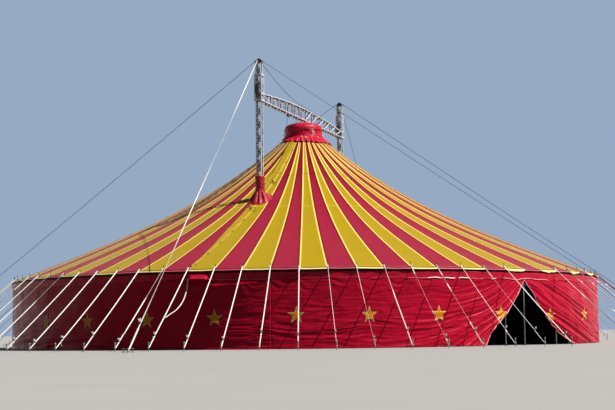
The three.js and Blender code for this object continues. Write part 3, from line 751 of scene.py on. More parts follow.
camera = newObject("camera", bpy.data.cameras.new("camera"))
scene.camera = camera
camera.data.sensor_width = cameraSpot["sensor"]
camera.data.lens = cameraSpot["focal"] / cameraSpot["frameWidth"] * cameraSpot["sensor"]
camera.data.clip_end = 600
eye = Vector(at(cameraSpot["azimuth"], cameraSpot["distance"], cameraSpot["height"]))
upright = Vector((0, 0, 1))
towards = Vector((-eye.x, -eye.y, 0)).normalized()
towards = swung(swung(towards, towards.cross(upright), cameraSpot["yaw"]), upright, cameraSpot["pitch"])
right = towards.cross(upright).normalized()
right = swung(right, right.cross(towards), cameraSpot["roll"])
axes = [[right[i], right.cross(towards)[i], -towards[i]] for i in range(3)]
camera.location = eye
camera.rotation_mode = "QUATERNION"
camera.rotation_quaternion = Matrix(axes).to_quaternion()

# Light: one sun from the right, and a pale sky that fills the shadows.
light = {"azimuth": 93.9, "elevation": 53, "strength": 6.4, "spread": 0.8, "colour": (1.0, 0.97, 0.91)}
sun = newObject("sun", bpy.data.lights.new("sun", "SUN"))
sun.data.energy = light["strength"]
sun.data.angle = math.radians(light["spread"])
sun.data.color = light["colour"]
high = math.radians(light["elevation"])
sun.rotation_mode = "QUATERNION"
sun.rotation_quaternion = Vector(at(light["azimuth"], math.cos(high), math.sin(high))).to_track_quat("Z", "Y")

# colour and strength of the sky: as it lights, as it is mirrored and as it is seen
backdrop = {"fill": ((0.74, 0.86, 1.0, 1), 0.07), "mirrored": ((0.90, 0.95, 1.0, 1), 0.06),
            "seen": (paint(150, 170, 196), 1.0), "haze": 1.25, "hazeFrom": 0.05, "hazeTo": 0.60}
world = bpy.data.worlds.new("studio")
scene.world = world
world.use_nodes = True
sky = world.node_tree
rays = sky.nodes.new("ShaderNodeLightPath").outputs
backdrops = {}
for part in ("fill", "mirrored", "seen"):
    backdrops[part] = sky.nodes["Background"] if part == "fill" else sky.nodes.new("ShaderNodeBackground")
    feedNamed(backdrops[part], Color=backdrop[part][0], Strength=backdrop[part][1])
# reflections meet a bright haze near the horizon, so cloth seen edge-on turns pale
skyHeight = split(sky.nodes.new("ShaderNodeTexCoord").outputs["Generated"])[2]
feed(backdrops["mirrored"].inputs[1],
     ramp(skyHeight, backdrop["hazeFrom"], backdrop["hazeTo"], backdrop["haze"], backdrop["mirrored"][1]))
passes = backdrops["fill"].outputs[0]
for ray, part in (("Is Glossy Ray", "mirrored"), ("Is Camera Ray", "seen")):
    passes = addNode("ShaderNodeMixShader", rays[ray], passes, backdrops[part].outputs[0])[0]
feed(sky.nodes["World Output"].inputs[0], passes)
scene.view_settings.view_transform = "Standard"

floorLook = {"half": 420.0, "height": -0.001}
floorMaterial, floorShader, floorCoords = newMaterial("floorPaint", 0.8)
floorPale = mixed(noiseField(floorCoords["Object"], 0.4), paint(150, 149, 148), paint(157, 156, 155))
floorRays = floorMaterial.node_tree.nodes.new("ShaderNodeLightPath").outputs
# throws less light back up at the tent
feed(floorShader.inputs["Base Color"], mixed(floorRays["Is Diffuse Ray"], floorPale, paint(58, 57, 56)))
floor = makePiece("floor", at(np.array([45.0, 135, 225, 315]), floorLook["half"], floorLook["height"]),
                  [[0, 1, 2, 3]], floorMaterial, closed=False)
print("camera, light and floor ready")

# Rigging rope: slack from the front mast head down to the bridge.
rope = {"diameter": 0.022, "points": [(0, -5.9317, 12.9), (0.008, -5.35, 12.728), (0.022, -4.7, 12.54),
                                      (0.042, -3.8, 12.295), (0.064, -3.0, 12.095), (0.084, -2.1, 11.915),
                                      (0.102, -1.0, 11.785), (0.112, 0.4, 11.722), (0.116, 1.45, 11.698),
                                      (0.1175, 2.3, 11.6375)]}


def throughPoints(points, perStretch):
    # one smooth curve through the points, its knots spaced by the root of each stretch
    p = np.asarray(points, float)
    p = np.concatenate([[2 * p[0] - p[1]], p, [2 * p[-1] - p[-2]]])
    made = []
    for a, b, c, d in zip(p, p[1:], p[2:], p[3:]):
        k = np.cumsum([0] + [math.sqrt(np.linalg.norm(e)) for e in (b - a, c - b, d - c)])
        for t in np.linspace(k[1], k[2], perStretch, endpoint=False):
            one = [((k[i + 1] - t) * u + (t - k[i]) * v) / (k[i + 1] - k[i])
                   for i, (u, v) in enumerate(((a, b), (b, c), (c, d)))]
            two = [((k[i + 2] - t) * one[i] + (t - k[i]) * one[i + 1]) / (k[i + 2] - k[i]) for i in (0, 1)]
            made.append(((k[2] - t) * two[0] + (t - k[1]) * two[1]) / (k[2] - k[1]))
    return np.array(made + [p[-2]])


ropePath = throughPoints(rope["points"], 4)
riggingRope = Shape().add(tube(ropePath, rope["diameter"] / 2, 10)).piece("riggingRope", ropeCloth)
settle(riggingRope, "rope_dark", "rigging_rope")

# Canopy: two halves laced together over the bridge line.
canopy = {"crownRadius": 1.0, "rows": 54, "perPanel": 8, "seamSag": 0.016, "eaveScallop": 0.010,
          "mastHole": 0.25, "holeReach": 0.95, "thick": 0.005, "joinGap": 0.012,
          # the folded edge: how far out, and at what share of the way down
          "turnDown": [(0.014, 0.5), (0.016, 0.8), (0.010, 1.0)]}


def canopyPoint(azimuth, radius):
    azimuth, radius = np.broadcast_arrays(np.asarray(azimuth, float), np.asarray(radius, float))
    hollow = between(azimuth)
    near = smooth(radius, 9.0, roofEdge)
    out = flatRadius(azimuth, radius) - canopy["eaveScallop"] * hollow * smooth(radius, 12.6, roofEdge)
    ripple = noise(azimuth * 1.3, 0, 3) * 0.008 * smooth(radius, 13.5, roofEdge)
    height = roofCurve(radius) - hollow * canopy["seamSag"] * np.minimum(radius / 6, 1) * (1 - 0.6 * near)
    ease = noise(azimuth / 9, radius / 2.4, 5) * 0.012 * smooth(radius, 1.5, 4)
    return at(azimuth, out + ripple * hollow, height + ease + ripple * hollow * 0.6)


def canopySkirt(azimuth):
    # the hem turned down at the eave; it droops in folds on the yellow panels beside the entrance
    turned = (np.asarray(azimuth) + 180) % 360 - 180
    yellow = np.floor(turned / step) % 2 == 0
    slack = smooth(turned, 48, 56) * (1 - smooth(turned, 96, 104)) * yellow * between(turned) ** 0.5
    return 0.038 + 0.060 * slack * (0.7 + 0.5 * noise(turned * 1.7, 0, 33))


def canopyHalf(name, start, nodes):
    s = np.linspace(0, 1, canopy["rows"])
    radii = canopy["crownRadius"] + (roofEdge - canopy["crownRadius"]) * s ** 0.92
    azimuths = np.linspace(start, start + 180, tent["panels"] // 2 * canopy["perPanel"] + 1)
    azimuths[[0, -1]] += [canopy["joinGap"], -canopy["joinGap"]]
    grid = canopyPoint(azimuths[None, :], radii[:, None])
    gone = np.zeros(grid.shape[:2], bool)
    hole, reach = canopy["mastHole"], canopy["holeReach"]
    for side in (-1, 1):
        middle = np.array([0, side * tent["mastY"]])
        off = grid[..., :2] - middle
        far = np.linalg.norm(off, axis=-1)
        push = np.where(far < reach, hole + far * (1 - hole / reach), far)
        grid[..., :2] = middle + off / np.maximum(far, 1e-6)[..., None] * push[..., None]
        grid[..., 2] = np.where(far < reach, roofCurve(np.hypot(grid[..., 0], grid[..., 1])), grid[..., 2])
        gone |= far < 0.13
    along = np.concatenate([[0], np.cumsum(np.hypot(np.diff(radii), np.diff(roofCurve(radii))))])
    hang = canopySkirt(azimuths)
    turned = [grid[-1] + at(azimuths, out, -hang * down) for out, down in canopy["turnDown"]]
    grid = np.concatenate([grid, turned])
    gone = np.concatenate([gone, np.zeros((len(turned), gone.shape[1]), bool)])
    radii = np.concatenate([radii, radii[-1:].repeat(len(turned))])
    along = np.concatenate([along, along[-1] + np.array([0.012, 0.03, 0.05])])
    uv = (np.radians(azimuths)[None, :] * radii[:, None], np.broadcast_to(along[:, None], grid.shape[:2]))
    half = makeSheet(name, grid, uv, canopyCloth, canopy["thick"], drop=gone, centre=(0, 0, -6))
    settle(half, "canopy_yellow", *nodes)


canopyHalf("canopyEast", 0, [f"roof_sector_{k}" for k in range(1, 5)])
canopyHalf("canopyWest", 180, [f"roof_sector_{k}" for k in range(5, 9)])

# Lacing flap: a yellow strip that covers the lacing, from crown to boot and from boot to eave.
flap = {"width": 0.29, "root": 0.05, "lift": 0.016, "free": 0.034,
        "spans": [(1.25, 5.66, 34), (6.58, 13.7, 46)], "columns": 7}


def lacingFlap(name, mastAzimuth, span):
    low, high, rows = span
    radii = np.linspace(low, high, rows)[:, None]
    across = np.linspace(-1, 1, flap["columns"])[None, :]
    width = flap["width"] * (1 - smooth(radii, 8.2, 13.4)) + 0.03
    shift = flap["root"] / 2 - width / 2 + across * (flap["root"] + width) / 2
    azimuth = mastAzimuth + np.degrees(shift / radii)
    grid = canopyPoint(azimuth, radii)
    lift = flap["lift"] + (flap["free"] - flap["lift"]) * (1 - across) / 2
    grid[..., 2] += lift + 0.008 * noise(radii * 2.2, across, 11) * (1 - across) / 2
    uv = (np.broadcast_to(shift, grid.shape[:2]), np.broadcast_to(radii, grid.shape[:2]))
    strip = makeSheet(name, grid, uv, flapCloth, 0.004, centre=(0, 0, -6))
    settle(strip, "canopy_yellow")


for side, mastAzimuth in (("Front", 0), ("Rear", 180)):
    for part, span in zip(("Upper", "Lower"), flap["spans"]):
        lacingFlap(f"lacingFlap{side}{part}", mastAzimuth, span)

# Lace loops showing beside the flap, and the cord ends tied near the front mast.
laceLoop = Shape().add(ringBar((0, 0, 0.012), (0.035, 0, 0), (0, 0.05, 0.010), 0.007))
laceSpots = []
for mastAzimuth in (0, 180):
    for radius in np.concatenate([np.arange(1.9, 5.4, 0.9), np.arange(7.0, 13.6, 1.3)]):
        p = canopyPoint(mastAzimuth + math.degrees(0.085 / radius), radius)
        laceSpots.append((p + [0, 0, 0.018], (0.45, 0, math.radians(mastAzimuth))))
settle(place("laceLoops", laceLoop, laceSpots, laceCord, jitter=0.25, seed=4), "rope_dark")

tieEnds = Shape()
bend, wound = np.linspace(0, 1, 9)[:, None], np.linspace(0, 6, 9)
for radius, shift, length in ((4.55, 0.03, 0.34), (6.92, -0.20, 0.24), (7.2, -0.05, 0.44)):
    start = canopyPoint(math.degrees(shift / radius), radius) + [0, 0, 0.06]
    path = start + bend * [length * 0.8, -length * 0.45, -length * 0.30]
    path[:, 2] += 0.03 * np.sin(bend[:, 0] * 9)
    tieEnds.add(tube(path, 0.010, 6))
    tieEnds.add(tube(start + 0.045 * np.stack([np.cos(wound), np.sin(wound), bend[:, 0]], 1), 0.014, 6))
settle(tieEnds.piece("tieEnds", laceCord), "rope_dark")
print("canopy ready")

# Valance: hangs under the eave in four lengths, its lower edge curled up in places.
valance = {"top": 3.030, "length": 0.345, "radius": 14.026, "recess": 0.036, "lean": 0.016, "rows": 38,
           "cloth": 0.36, "perPanel": (12, 8, 8, 10)}
# where the lower edge stands out: from azimuth, to azimuth, by how many degrees, from how far down,
# and how strongly a painted highlight shows on it
curls = [(-3.9, -1.2, 60, 0.80, 0), (0.0, 3.6, 36, 0.12, 0), (3.3, 4.4, 34, 0.5, 0),
         (4.8, 9.9, 30, 0.95, 0.4), (10.2, 14.2, 30, 0.95, 0.25), (29.2, 31.0, 60, 0.93, 0),
         (35.2, 38.9, 35, 0.95, 0.3), (38.8, 41.4, 54, 0.88, 1), (41.6, 43.9, 56, 0.88, 1),
         (44.3, 46.6, 54, 0.87, 1), (46.8, 48.4, 32, 0.95, 0.3),
         (48.5, 49.3, 40, 0.93, 0.6), (50.9, 52.1, 50, 0.90, 0.9), (53.2, 57.4, 40, 0.93, 0.4),
         (57.0, 60.8, 44, 0.92, 0.6), (60.6, 65.3, 42, 0.93, 0.5), (70.4, 73.5, 80, 0.92, 0),
         (76.5, 79.0, 70, 0.92, 0), (120, 124, 90, 0.88, 0), (150, 153, 80, 0.9, 0), (171, 174, 90, 0.9, 0),
         (205, 209, 100, 0.88, 0), (233, 236, 80, 0.9, 0), (262, 266, 100, 0.9, 0), (291, 294, 80, 0.9, 0)]


def valanceGrid(azimuth):
    # follows the cloth down from the eave: each row goes on from the last at its own slant
    down = np.linspace(0, 1, valance["rows"])[:, None]
    turned = (azimuth + 4.5) % 360 - 4.5
    slant = 3.5 * np.sin(down * 21 + 4 * noise(azimuth * 0.7, down * 2, 21))
    slant = slant + 2.5 * noise(azimuth * 1.1, down * 3, 22)
    slant = slant + 4 * smooth(down, 0.7, 1) * noise(azimuth * 1.6, 0, 23)
    # how strongly each turned-up edge is painted as a highlight
    curled = 0 * slant
    for low, high, lean, start, pale in curls:
        reach = smooth(turned, low, low + 0.35) * (1 - smooth(turned, high - 0.35, high))
        slant = slant + lean * reach * smooth(down, start - 0.02, min(start + 0.10, 1.0))
        curled = np.maximum(curled, pale * reach * (down > start))
    slant = np.radians(slant)
    wavy = 0.05 + 0.07 * smooth(turned, 50, 54) * (1 - smooth(turned, 66, 72))
    each = valance["length"] / (valance["rows"] - 1) * (1 + wavy * noise(azimuth * 0.9, 0, 31))
    out = np.cumsum(np.sin(slant) * each, 0)
    out = np.maximum(out - smooth(down, 0, 0.3) * out[:1], -0.004)
    drop = np.cumsum(np.cos(slant) * each, 0)
    recess = valance["recess"] * (1 - smooth(drop, 0.045, 0.075))
    inward = valance["lean"] * smooth(drop, 0.08, 0.30)
    radius = wallRadius(azimuth, valance["radius"]) - recess - inward + out
    return at(azimuth, radius, valance["top"] - drop - 0.012 * between(azimuth)), curled


arc = 360 / len(valance["perPanel"])
for k, perPanel in enumerate(valance["perPanel"]):
    columns = round(arc / step) * perPanel + 1
    azimuths = np.linspace(k * arc + 0.01, (k + 1) * arc - 0.01, columns)[None, :]
    grid, curled = valanceGrid(azimuths)
    down = np.linspace(0, 1, valance["rows"])[:, None]
    along = np.radians(azimuths) * tent["eaveRadius"] + 0 * down
    flat = (along, valance["cloth"] * (1 - down) + 0 * azimuths)
    # turnedUpHighlight carries the painted highlight on the curled edge
    length = makeSheet(f"valance{k + 1}", grid, flat, valanceCloth, 0.003, marks={"turnedUpHighlight": curled})
    settle(length, "trim_red")

# Side curtains: eight lengths, the first and the last pulled apart at the entrance.
curtain = {"radius": 13.998, "top": 2.965, "rows": (108, 60), "columns": (224, 112), "thick": 0.004,
           "apex": 2.62, "hemRope": 0.016, "fine": (0, 6, 7)}  # the lengths in front have the finer mesh
# heights and azimuths of the two free edges, the azimuths counted from the seam above the door
doorEdges = {
    "left": [(0, -9.3), (0.12, -8.9), (0.32, -8.4), (0.55, -7.75), (0.95, -5.95), (1.46, -3.7), (2.23, -1.15),
             (2.62, 0)],
    "right": [(0, 14.6), (0.21, 12.3), (0.43, 10.0), (0.76, 7.7), (1.18, 5.6), (1.71, 3.4), (2.28, 1.5),
              (2.62, 0)],
}
# azimuths of the stars beside the entrance, where an even row would have them, and how much higher they hang
starPlaces = [-58, -44.2, -32.4, -20.4, -7.5, 4.4, 17.5, 29.0, 40.7, 52.9, 65.5, 79.4, 94.4, 104]
starEven = [-58, -45.16, -32.74, -20.33, -7.91, 4.5, 16.91, 29.33, 41.74, 54.16, 66.57, 78.98, 91.4, 104]
starRise = [0, 0, 0, 0, 0, 0.035, 0.115, 0.10, 0.11, 0.10, 0.01, 0.09, 0.05, 0]


def pulledEdge(height, rightSide):
    # how far, in degrees, the free edge is drawn aside at a height
    route = throughPoints([(*stop, 0) for stop in doorEdges["right" if rightSide else "left"]], 8)
    return np.interp(height, route[:, 0], route[:, 1])


def curtainBulge(azimuth, height, fromDoor, rightSide):
    s = np.radians(azimuth) * tent["eaveRadius"]
    hollow = between(azimuth)
    below = np.clip(curtain["top"] - height, 0, 3)
    low = 1 - smooth(height, 0.5, 2.1)
    share = (azimuth / step) % 1
    toPole = np.minimum(share, 1 - share) * math.radians(step) * tent["eaveRadius"]
    # the swags that hang from pole to pole under the cable
    dip = below - 0.40 * hollow + 0.20 * noise(s / 1.9, 0, 40)
    bulge = 0.020 * crest(dip / 0.20, s / 1.3, 41) * np.exp(-below / 0.8)
    bulge += 0.012 * noise(s / 1.7, height / 0.6, 43) + 0.008 * noise(s / 0.6, height / 0.45, 42)
    # wrinkles that run along the cloth, closer together near the ground
    level = height + 0.12 * noise(s / 1.3, height / 0.7, 44)
    bulge += (0.004 + 0.0085 * low) * crest(s / 0.9, level / 0.095, 45)
    bulge += 0.009 * crest(s / 1.7, level / 0.30, 46) * (0.4 + 0.6 * low)
    # upright folds on the side away from the entrance, where the cloth has more fullness
    full = smooth((azimuth - 250) % 360, 0, 25) * (1 - smooth((azimuth - 250) % 360, 52, 68))
    bulge += full * (0.022 * noise(s / 0.42, height / 4.0, 48) - 0.006)
    # the loose top that stands out where the sun first catches it
    loose = smooth(azimuth % 360, 359, 360) + (azimuth % 360 < 180) * 1.0
    loose = loose * (1 - smooth((azimuth + 90) % 360, 98, 105))
    bulge += 0.085 * loose * smooth(below, 0.27, 0.38) * (1 - smooth(below, 0.45, 1.2)) * (
        0.8 + 0.3 * noise(s / 0.45, height / 0.9, 49))
    # small folds at the foot, which spreads a little
    bulge += 0.012 * noise(s / 0.21, height / 0.6, 47) * np.exp(-height / 0.20)
    bulge += 0.034 * np.exp(-height / 0.07)
    if fromDoor is not None:
        x = np.maximum(fromDoor, 0)
        steep, reach = (0.75, 5.0) if rightSide else (2.3, 1.05)
        level = height + steep * reach * (1 - np.exp(-x / reach)) + 0.10 * noise(x / 1.1, height / 0.8, 51)
        strength = np.exp(-(x / (5.5 if rightSide else 4.2)) ** 2) * smooth(below, 0.28, 0.6)
        long = x + 0.4 * height
        folds = 0.85 * crest(level / 0.25, long / 2.0, 52) + 0.60 * crest(level / 0.105, long / 1.1, 53)
        bulge = bulge * (1 - 0.6 * strength) + (0.042 if rightSide else 0.030) * folds * strength
        gathered = np.exp(-x / 0.45) * np.abs(pulledEdge(height, rightSide)) / 15
        bulge += 0.022 * gathered * np.sin(2 * math.pi * x / 0.21 + 2 * height) + 0.05 * gathered
        bulge += 0.08 * np.exp(-x / 0.6) * np.exp(-height / 0.14)
    clear = np.exp(-(toPole / 0.10) ** 2)
    return np.clip(bulge, -0.060 + 0.050 * clear, 0.006 + 0.09 * smooth(below, 0.30, 0.55))


def curtainGrid(index):
    first = tent["doorAzimuth"] + index * 45
    coarse = index not in curtain["fine"]
    u = np.linspace(0, 1, curtain["columns"][coarse])[None, :]
    height = curtain["top"] * (1 - np.linspace(0, 1, curtain["rows"][coarse])[:, None])
    azimuth = first + 0.001 + 44.998 * u + 0 * height
    if index == 0:
        azimuth = azimuth + pulledEdge(height, True) * (1 - u) ** 3.2
        fromDoor = np.radians(azimuth - first - pulledEdge(height, True)) * tent["eaveRadius"]
    elif index == 7:
        azimuth = azimuth + pulledEdge(height, False) * u ** 3.2
        fromDoor = np.radians(first + 45 + pulledEdge(height, False) - azimuth) * tent["eaveRadius"]
    else:
        fromDoor = None
    bulge = curtainBulge(azimuth, height, fromDoor, index == 0)
    turned = (azimuth + 180) % 360 - 180
    printed = azimuth + np.interp(turned, starPlaces, np.subtract(starEven, starPlaces))
    middle = smooth(height, 0.3, 0.7) * (1 - smooth(height, 1.8, 2.4))
    lifted = height - np.interp(turned, starPlaces, starRise) * middle
    flat = (np.radians(printed) * tent["eaveRadius"], lifted)
    return at(azimuth, wallRadius(azimuth, curtain["radius"]) + bulge, height + 0 * azimuth), flat


for index in range(8):
    grid, flat = curtainGrid(index)
    length = makeSheet(f"curtain{index + 1}", grid, flat, curtainCloth, curtain["thick"])
    settle(length, "curtain_red", f"wall_curtain_{index + 1}")
    if index in (0, 7):
        edge = grid[:, 0 if index == 0 else -1]
        hemPath = edge[edge[:, 2] < curtain["apex"] + 0.05][::2] + [0, 0, 0.004]
        hemPath[:, 2] = np.maximum(hemPath[:, 2], curtain["hemRope"] + 0.001)  # rests on the ground
        hemRope = Shape().add(tube(hemPath, curtain["hemRope"], 8))
        settle(hemRope.piece("doorEdgeRight" if index == 0 else "doorEdgeLeft", paleHem), "trim_red")
print("curtains and valance ready")

# Eave poles: a round pole at every seam, with a foot plate, a collar and the wall cable's clamp.
pole = {"pitch": 13.95, "radius": 0.03, "cableHeight": 2.96}
poleTop = float(roofCurve(pole["pitch"])) - 0.035
poleShape = Shape().add(lathe([(0, 0), (0.075, 0), (0.075, 0.008), (0.034, 0.012), (0.030, 0.03),
                               (0.030, 1.48), (0.033, 1.485), (0.033, 1.56), (0.030, 1.565),
                               (0.030, poleTop - 0.02), (0.022, poleTop - 0.012), (0.022, poleTop),
                               (0, poleTop)], 14))
poleShape.add(box((0.075, 0.03, 0.04), (0, 0.005, pole["cableHeight"])))
poleShape.add(rod((-0.045, 0, 1.52), (0.045, 0, 1.52), 0.006, 6))
poles = place("eavePoles", poleShape, standing(seams, pole["pitch"], 0), dimmedPoleSteel)
settle(poles, "pole_steel", *[f"eave_poles_{k}" for k in range(1, 9)])
poleAzimuths = np.arange(0, 360, step)
cablePath = at(poleAzimuths, pole["pitch"], pole["cableHeight"])
cable = Shape().add(tube(cablePath, 0.007, 8, loop=True)).piece("wallCable", wireRope)
settle(cable, "stay_cable")

# Guys: spigot, ring, strap with its ratchet, and stake.
guy = {"stakeRadius": 17.5, "footHeight": 0.15, "rise": 0.065, "width": 0.036, "thick": 0.005,
       "ratchetShare": (0.82, 0.93), "sag": 0.03}
# how a strap turns on its way down, in degrees from edge-on, at shares of its length
twists = {
    "broad": [(0, 90), (0.97, 90)],
    "slow": [(0, 90), (0.35, 75), (0.7, 120), (0.97, 90)],
    "thin": [(0, 90), (0.04, 14), (0.9, 18)],
    "fading": [(0, 90), (0.04, 16), (0.48, 14), (0.56, 1), (0.97, 1)],
    "waist": [(0, 90), (0.19, 90), (0.24, 8), (0.66, 4), (0.74, 90), (0.97, 90)],
    "late": [(0, 90), (0.05, 13), (0.39, 13), (0.46, 85), (0.97, 90)],
    "lost": [(0, 90), (0.09, 90), (0.13, 2), (0.97, 2)],
    "broken": [(0, 90), (0.13, 90), (0.16, 3), (0.29, 3), (0.32, 80), (0.36, 80), (0.39, 3), (0.86, 3),
               (0.9, 90)],
    "half": [(0, 90), (0.15, 90), (0.18, 3), (0.52, 3), (0.56, 13), (0.97, 16)],
    "third": [(0, 60), (0.05, 20), (0.28, 20), (0.34, 60), (0.66, 55), (0.72, 22), (0.97, 40)],
}
seamTwists = {337.5: "slow", 342.0: "broad", 346.5: "broad", 351.0: "broad", 355.5: "late", 0.0: "broad",
              4.5: "broad", 9.0: "broad", 13.5: "broad", 18.0: "broad", 22.5: "thin", 27.0: "fading",
              31.5: "late", 36.0: "lost", 40.5: "broken", 45.0: "thin", 49.5: "half", 54.0: "third",
              67.5: "late", 72.0: "waist"}
random = np.random.default_rng(12)
roofAtPole = float(roofCurve(pole["pitch"])) + 0.012

spigotShape = Shape().add(lathe([(0, 0), (0.012, 0), (0.012, 0.15), (0.016, 0.152), (0.016, 0.168),
                                 (0.009, 0.178), (0.009, 0.186), (0, 0.188)], 10))
spigotShape.add(lathe([(0, -0.002), (0.045, -0.002), (0.045, 0.006), (0.02, 0.012), (0, 0.012)], 14))
spigots = standing(guySeams, pole["pitch"], roofAtPole)
settle(place("spigots", spigotShape, spigots, darkPaint, jitter=0.07, seed=2), "dark_paint")

stakeShape = Shape().add(lathe([(0, 0), (0.017, 0), (0.017, 0.30), (0.030, 0.305), (0.032, 0.325),
                                (0.024, 0.338), (0, 0.34)], 10))
stakeShape.add(ringBar((0, 0, guy["footHeight"]), (0.028, 0, 0), (0, 0.028, 0.01), 0.006, count=10))
stakes = place("stakes", stakeShape, standing(guySeams, guy["stakeRadius"], 0), mastSteel)
settle(stakes, "mast_steel", *[f"guy_straps_{k}" for k in range(1, 9)])


spool = np.array([0, -0.105, 0.012])


def ratchetShape():
    # the strap runs along -Y; frame plates, spool, handle and release bar
    made = Shape()
    for x in (-0.034, 0.034):
        made.add(box((0.005, 0.21, 0.046), (x, -0.105, 0.006)))
        made.add(box((0.005, 0.17, 0.034), (x * 0.86, -0.075, 0.040), lean=-14))
    made.add(rod((-0.045, -0.105, 0.012), (0.045, -0.105, 0.012), 0.012, 10))
    made.add(rod((-0.036, -0.02, 0.004), (0.036, -0.02, 0.004), 0.008, 8))
    made.add(rod((-0.036, -0.195, 0.004), (0.036, -0.195, 0.004), 0.008, 8))
    made.add(box((0.062, 0.035, 0.022), (0, 0.002, 0.060), lean=-14))
    made.add(box((0.058, 0.05, 0.006), (0, -0.062, 0.046), lean=-14))
    for x in (-0.041, 0.041):
        made.add(wheel(disc(0.026, -0.003, 0.003), 12, spool + [x, 0, 0]))
    return made


straps, tails = Shape(), Shape()
ratchetSpots = []
for azimuth in guySeams:
    out, across = directions(azimuth)
    head = at(azimuth, pole["pitch"] + 0.012, roofAtPole + guy["rise"])
    foot = at(azimuth, guy["stakeRadius"] - 0.022, guy["footHeight"])
    share = random.uniform(*guy["ratchetShare"])
    slope = foot - head
    way = slope / np.linalg.norm(slope)
    square = np.cross(across, way)
    square = square if square[2] > 0 else -square
    ratchetAt = head + slope * share
    style = seamTwists.get(azimuth, random.choice(["broad", "slow", "late", "waist"]))
    apart = abs((azimuth - cameraSpot["azimuth"] + 180) % 360 - 180)
    seen = np.array(eye) - (head + foot) / 2 if apart < 75 else out
    edgeOn = math.degrees(math.atan2(square @ seen, across @ seen))
    t = np.linspace(0, 1, 30)
    stops, angles = zip(*twists[style])
    turns = np.radians(edgeOn + np.interp(t, stops, angles))
    path = head + slope * share * t[:, None]
    path[:, 2] -= guy["sag"] * np.sin(t * math.pi)
    side = np.cos(turns)[:, None] * across + np.sin(turns)[:, None] * square
    straps.add(band(path, side, guy["width"], guy["thick"]))
    t = np.linspace(0, 1, 5)
    lower = ratchetAt + (foot - ratchetAt) * t[:, None] - square * 0.012
    straps.add(band(lower, np.tile(side[-1], (5, 1)), guy["width"] * 0.9, guy["thick"]))
    straps.add(ringBar(foot + out * 0.022, out * 0.024, across * 0.024, 0.010))
    straps.add(ringBar(head - out * 0.012, out * 0.018, across * 0.018, 0.007))
    lean = math.asin(way[2])
    flip = random.choice([0, math.pi])
    ratchetSpots.append((ratchetAt, (-lean if flip else lean, flip, math.radians(azimuth))))
    if random.random() < 0.4:
        drop = random.uniform(0.12, 0.32)
        t = np.linspace(0, 1, 9)
        curl = random.uniform(-0.16, 0.16)
        tail = ratchetAt + way * 0.10 + (curl * t)[:, None] * across + 0.05 * np.sin(t * 3)[:, None] * out
        tail[:, 2] += 0.05 * np.sin(t * math.pi) - drop * t
        tail[:, 2] = np.maximum(tail[:, 2], 0.012)
        spin = random.uniform(0, 1.5) * t
        side = np.cos(spin)[:, None] * across + np.sin(spin)[:, None] * out
        tails.add(band(tail, side, 0.046, 0.005))

# A spare strap hangs in a loop from the valance to the guy in front of it.
spare = [(14.045, 2.76), (14.06, 2.60), (14.15, 2.31), (14.47, 1.90), (15.03, 1.57), (15.65, 1.37),
         (16.09, 1.235)]
sparePath = throughPoints([(0, -radius, z) for radius, z in spare], 5)
tails.add(band(sparePath, np.tile([0.97, 0.24, 0], (len(sparePath), 1)), 0.042, 0.005))
settle(straps.piece("guyStraps", strapCloth, sharp=40), "webbing_white")
settle(tails.piece("strapTails", strapCloth, sharp=40), "webbing_white")
settle(place("ratchets", ratchetShape(), ratchetSpots, bridgeSteel, size=0.7), "bridge_steel")


def rollShape():
    # the strap wound on the ratchet's spool, and the fold that stands off it
    made = Shape()
    made.add(wheel([(0, -0.026), (0.030, -0.026), (0.034, -0.02), (0.034, 0.02), (0.030, 0.026),
                    (0, 0.026)], 12, spool))
    fold = [(0, -0.125, 0.04), (0, -0.15, 0.055), (0, -0.175, 0.05), (0, -0.19, 0.03)]
    made.add(band(fold, np.tile([1.0, 0, 0], (4, 1)), 0.05, 0.008))
    return made


settle(place("strapRolls", rollShape(), ratchetSpots, strapCloth, size=0.7), "webbing_white")
# the belt lies on the roof's edge, from spigot to spigot, and closes on itself
around = np.append(poleAzimuths, 0.0)
beltBand = band(at(around, pole["pitch"], roofAtPole + 0.006), at(around, 1, 0), 0.04, 0.004)
settle(Shape().add(beltBand).piece("eaveBelt", strapCloth, sharp=60), "webbing_white")
print("poles and guys ready")

# Masts: four chords, zigzag bracing on every side, flanged joints.
mast = {"side": 0.275, "chord": 0.026, "brace": 0.017, "height": 12.8, "bay": 0.31, "foot": 0.56,
        "joint": 3.2}


mastJoints = np.arange(mast["joint"], mast["height"] - 0.5, mast["joint"])


def latticeMast(name, y, node):
    half = mast["side"] / 2 - mast["chord"]
    corners = np.array([[-half, -half], [half, -half], [half, half], [-half, half]])
    made, braces = Shape(), Shape()
    made.add(box((mast["foot"], mast["foot"], 0.02), (0, y, 0.01)))
    made.add(box((mast["side"] + 0.04, mast["side"] + 0.04, 0.016), (0, y, 0.028)))
    bays = round((mast["height"] - 0.1) / mast["bay"])
    levels = np.linspace(0.06, mast["height"] - 0.04, bays + 1)
    for i in range(4):
        a, b = corners[i], corners[(i + 1) % 4]
        made.add(rod((a[0], y + a[1], 0.02), (a[0], y + a[1], mast["height"]), mast["chord"], 10))
        for k in range(bays):
            p, q = (a, b) if (k + i) % 2 else (b, a)
            braces.add(rod((p[0], y + p[1], levels[k]), (q[0], y + q[1], levels[k + 1]), mast["brace"], 6))
            if k % 2 == 0:
                braces.add(rod((a[0], y + a[1], levels[k]), (b[0], y + b[1], levels[k]), mast["brace"], 6))
    for z in mastJoints:
        for c in corners:
            for low in (z - 0.018, z + 0.002):
                made.add(lathe(disc(0.034, low, low + 0.016), 8, (c[0], y + c[1], 0)))
    made.add(box((mast["side"], mast["side"], 0.012), (0, y, mast["height"] - 0.006)))
    settle(made.piece(name, bridgeSteel), "mast_steel", node)
    settle(braces.piece(name + "Braces", braceSteel), "mast_steel")


def boltShape(radius, height):
    return Shape().add(lathe([(0, 0), (radius, 0), (radius, height), (radius * 0.55, height),
                              (radius * 0.55, height * 1.8), (0, height * 1.8)], 6))


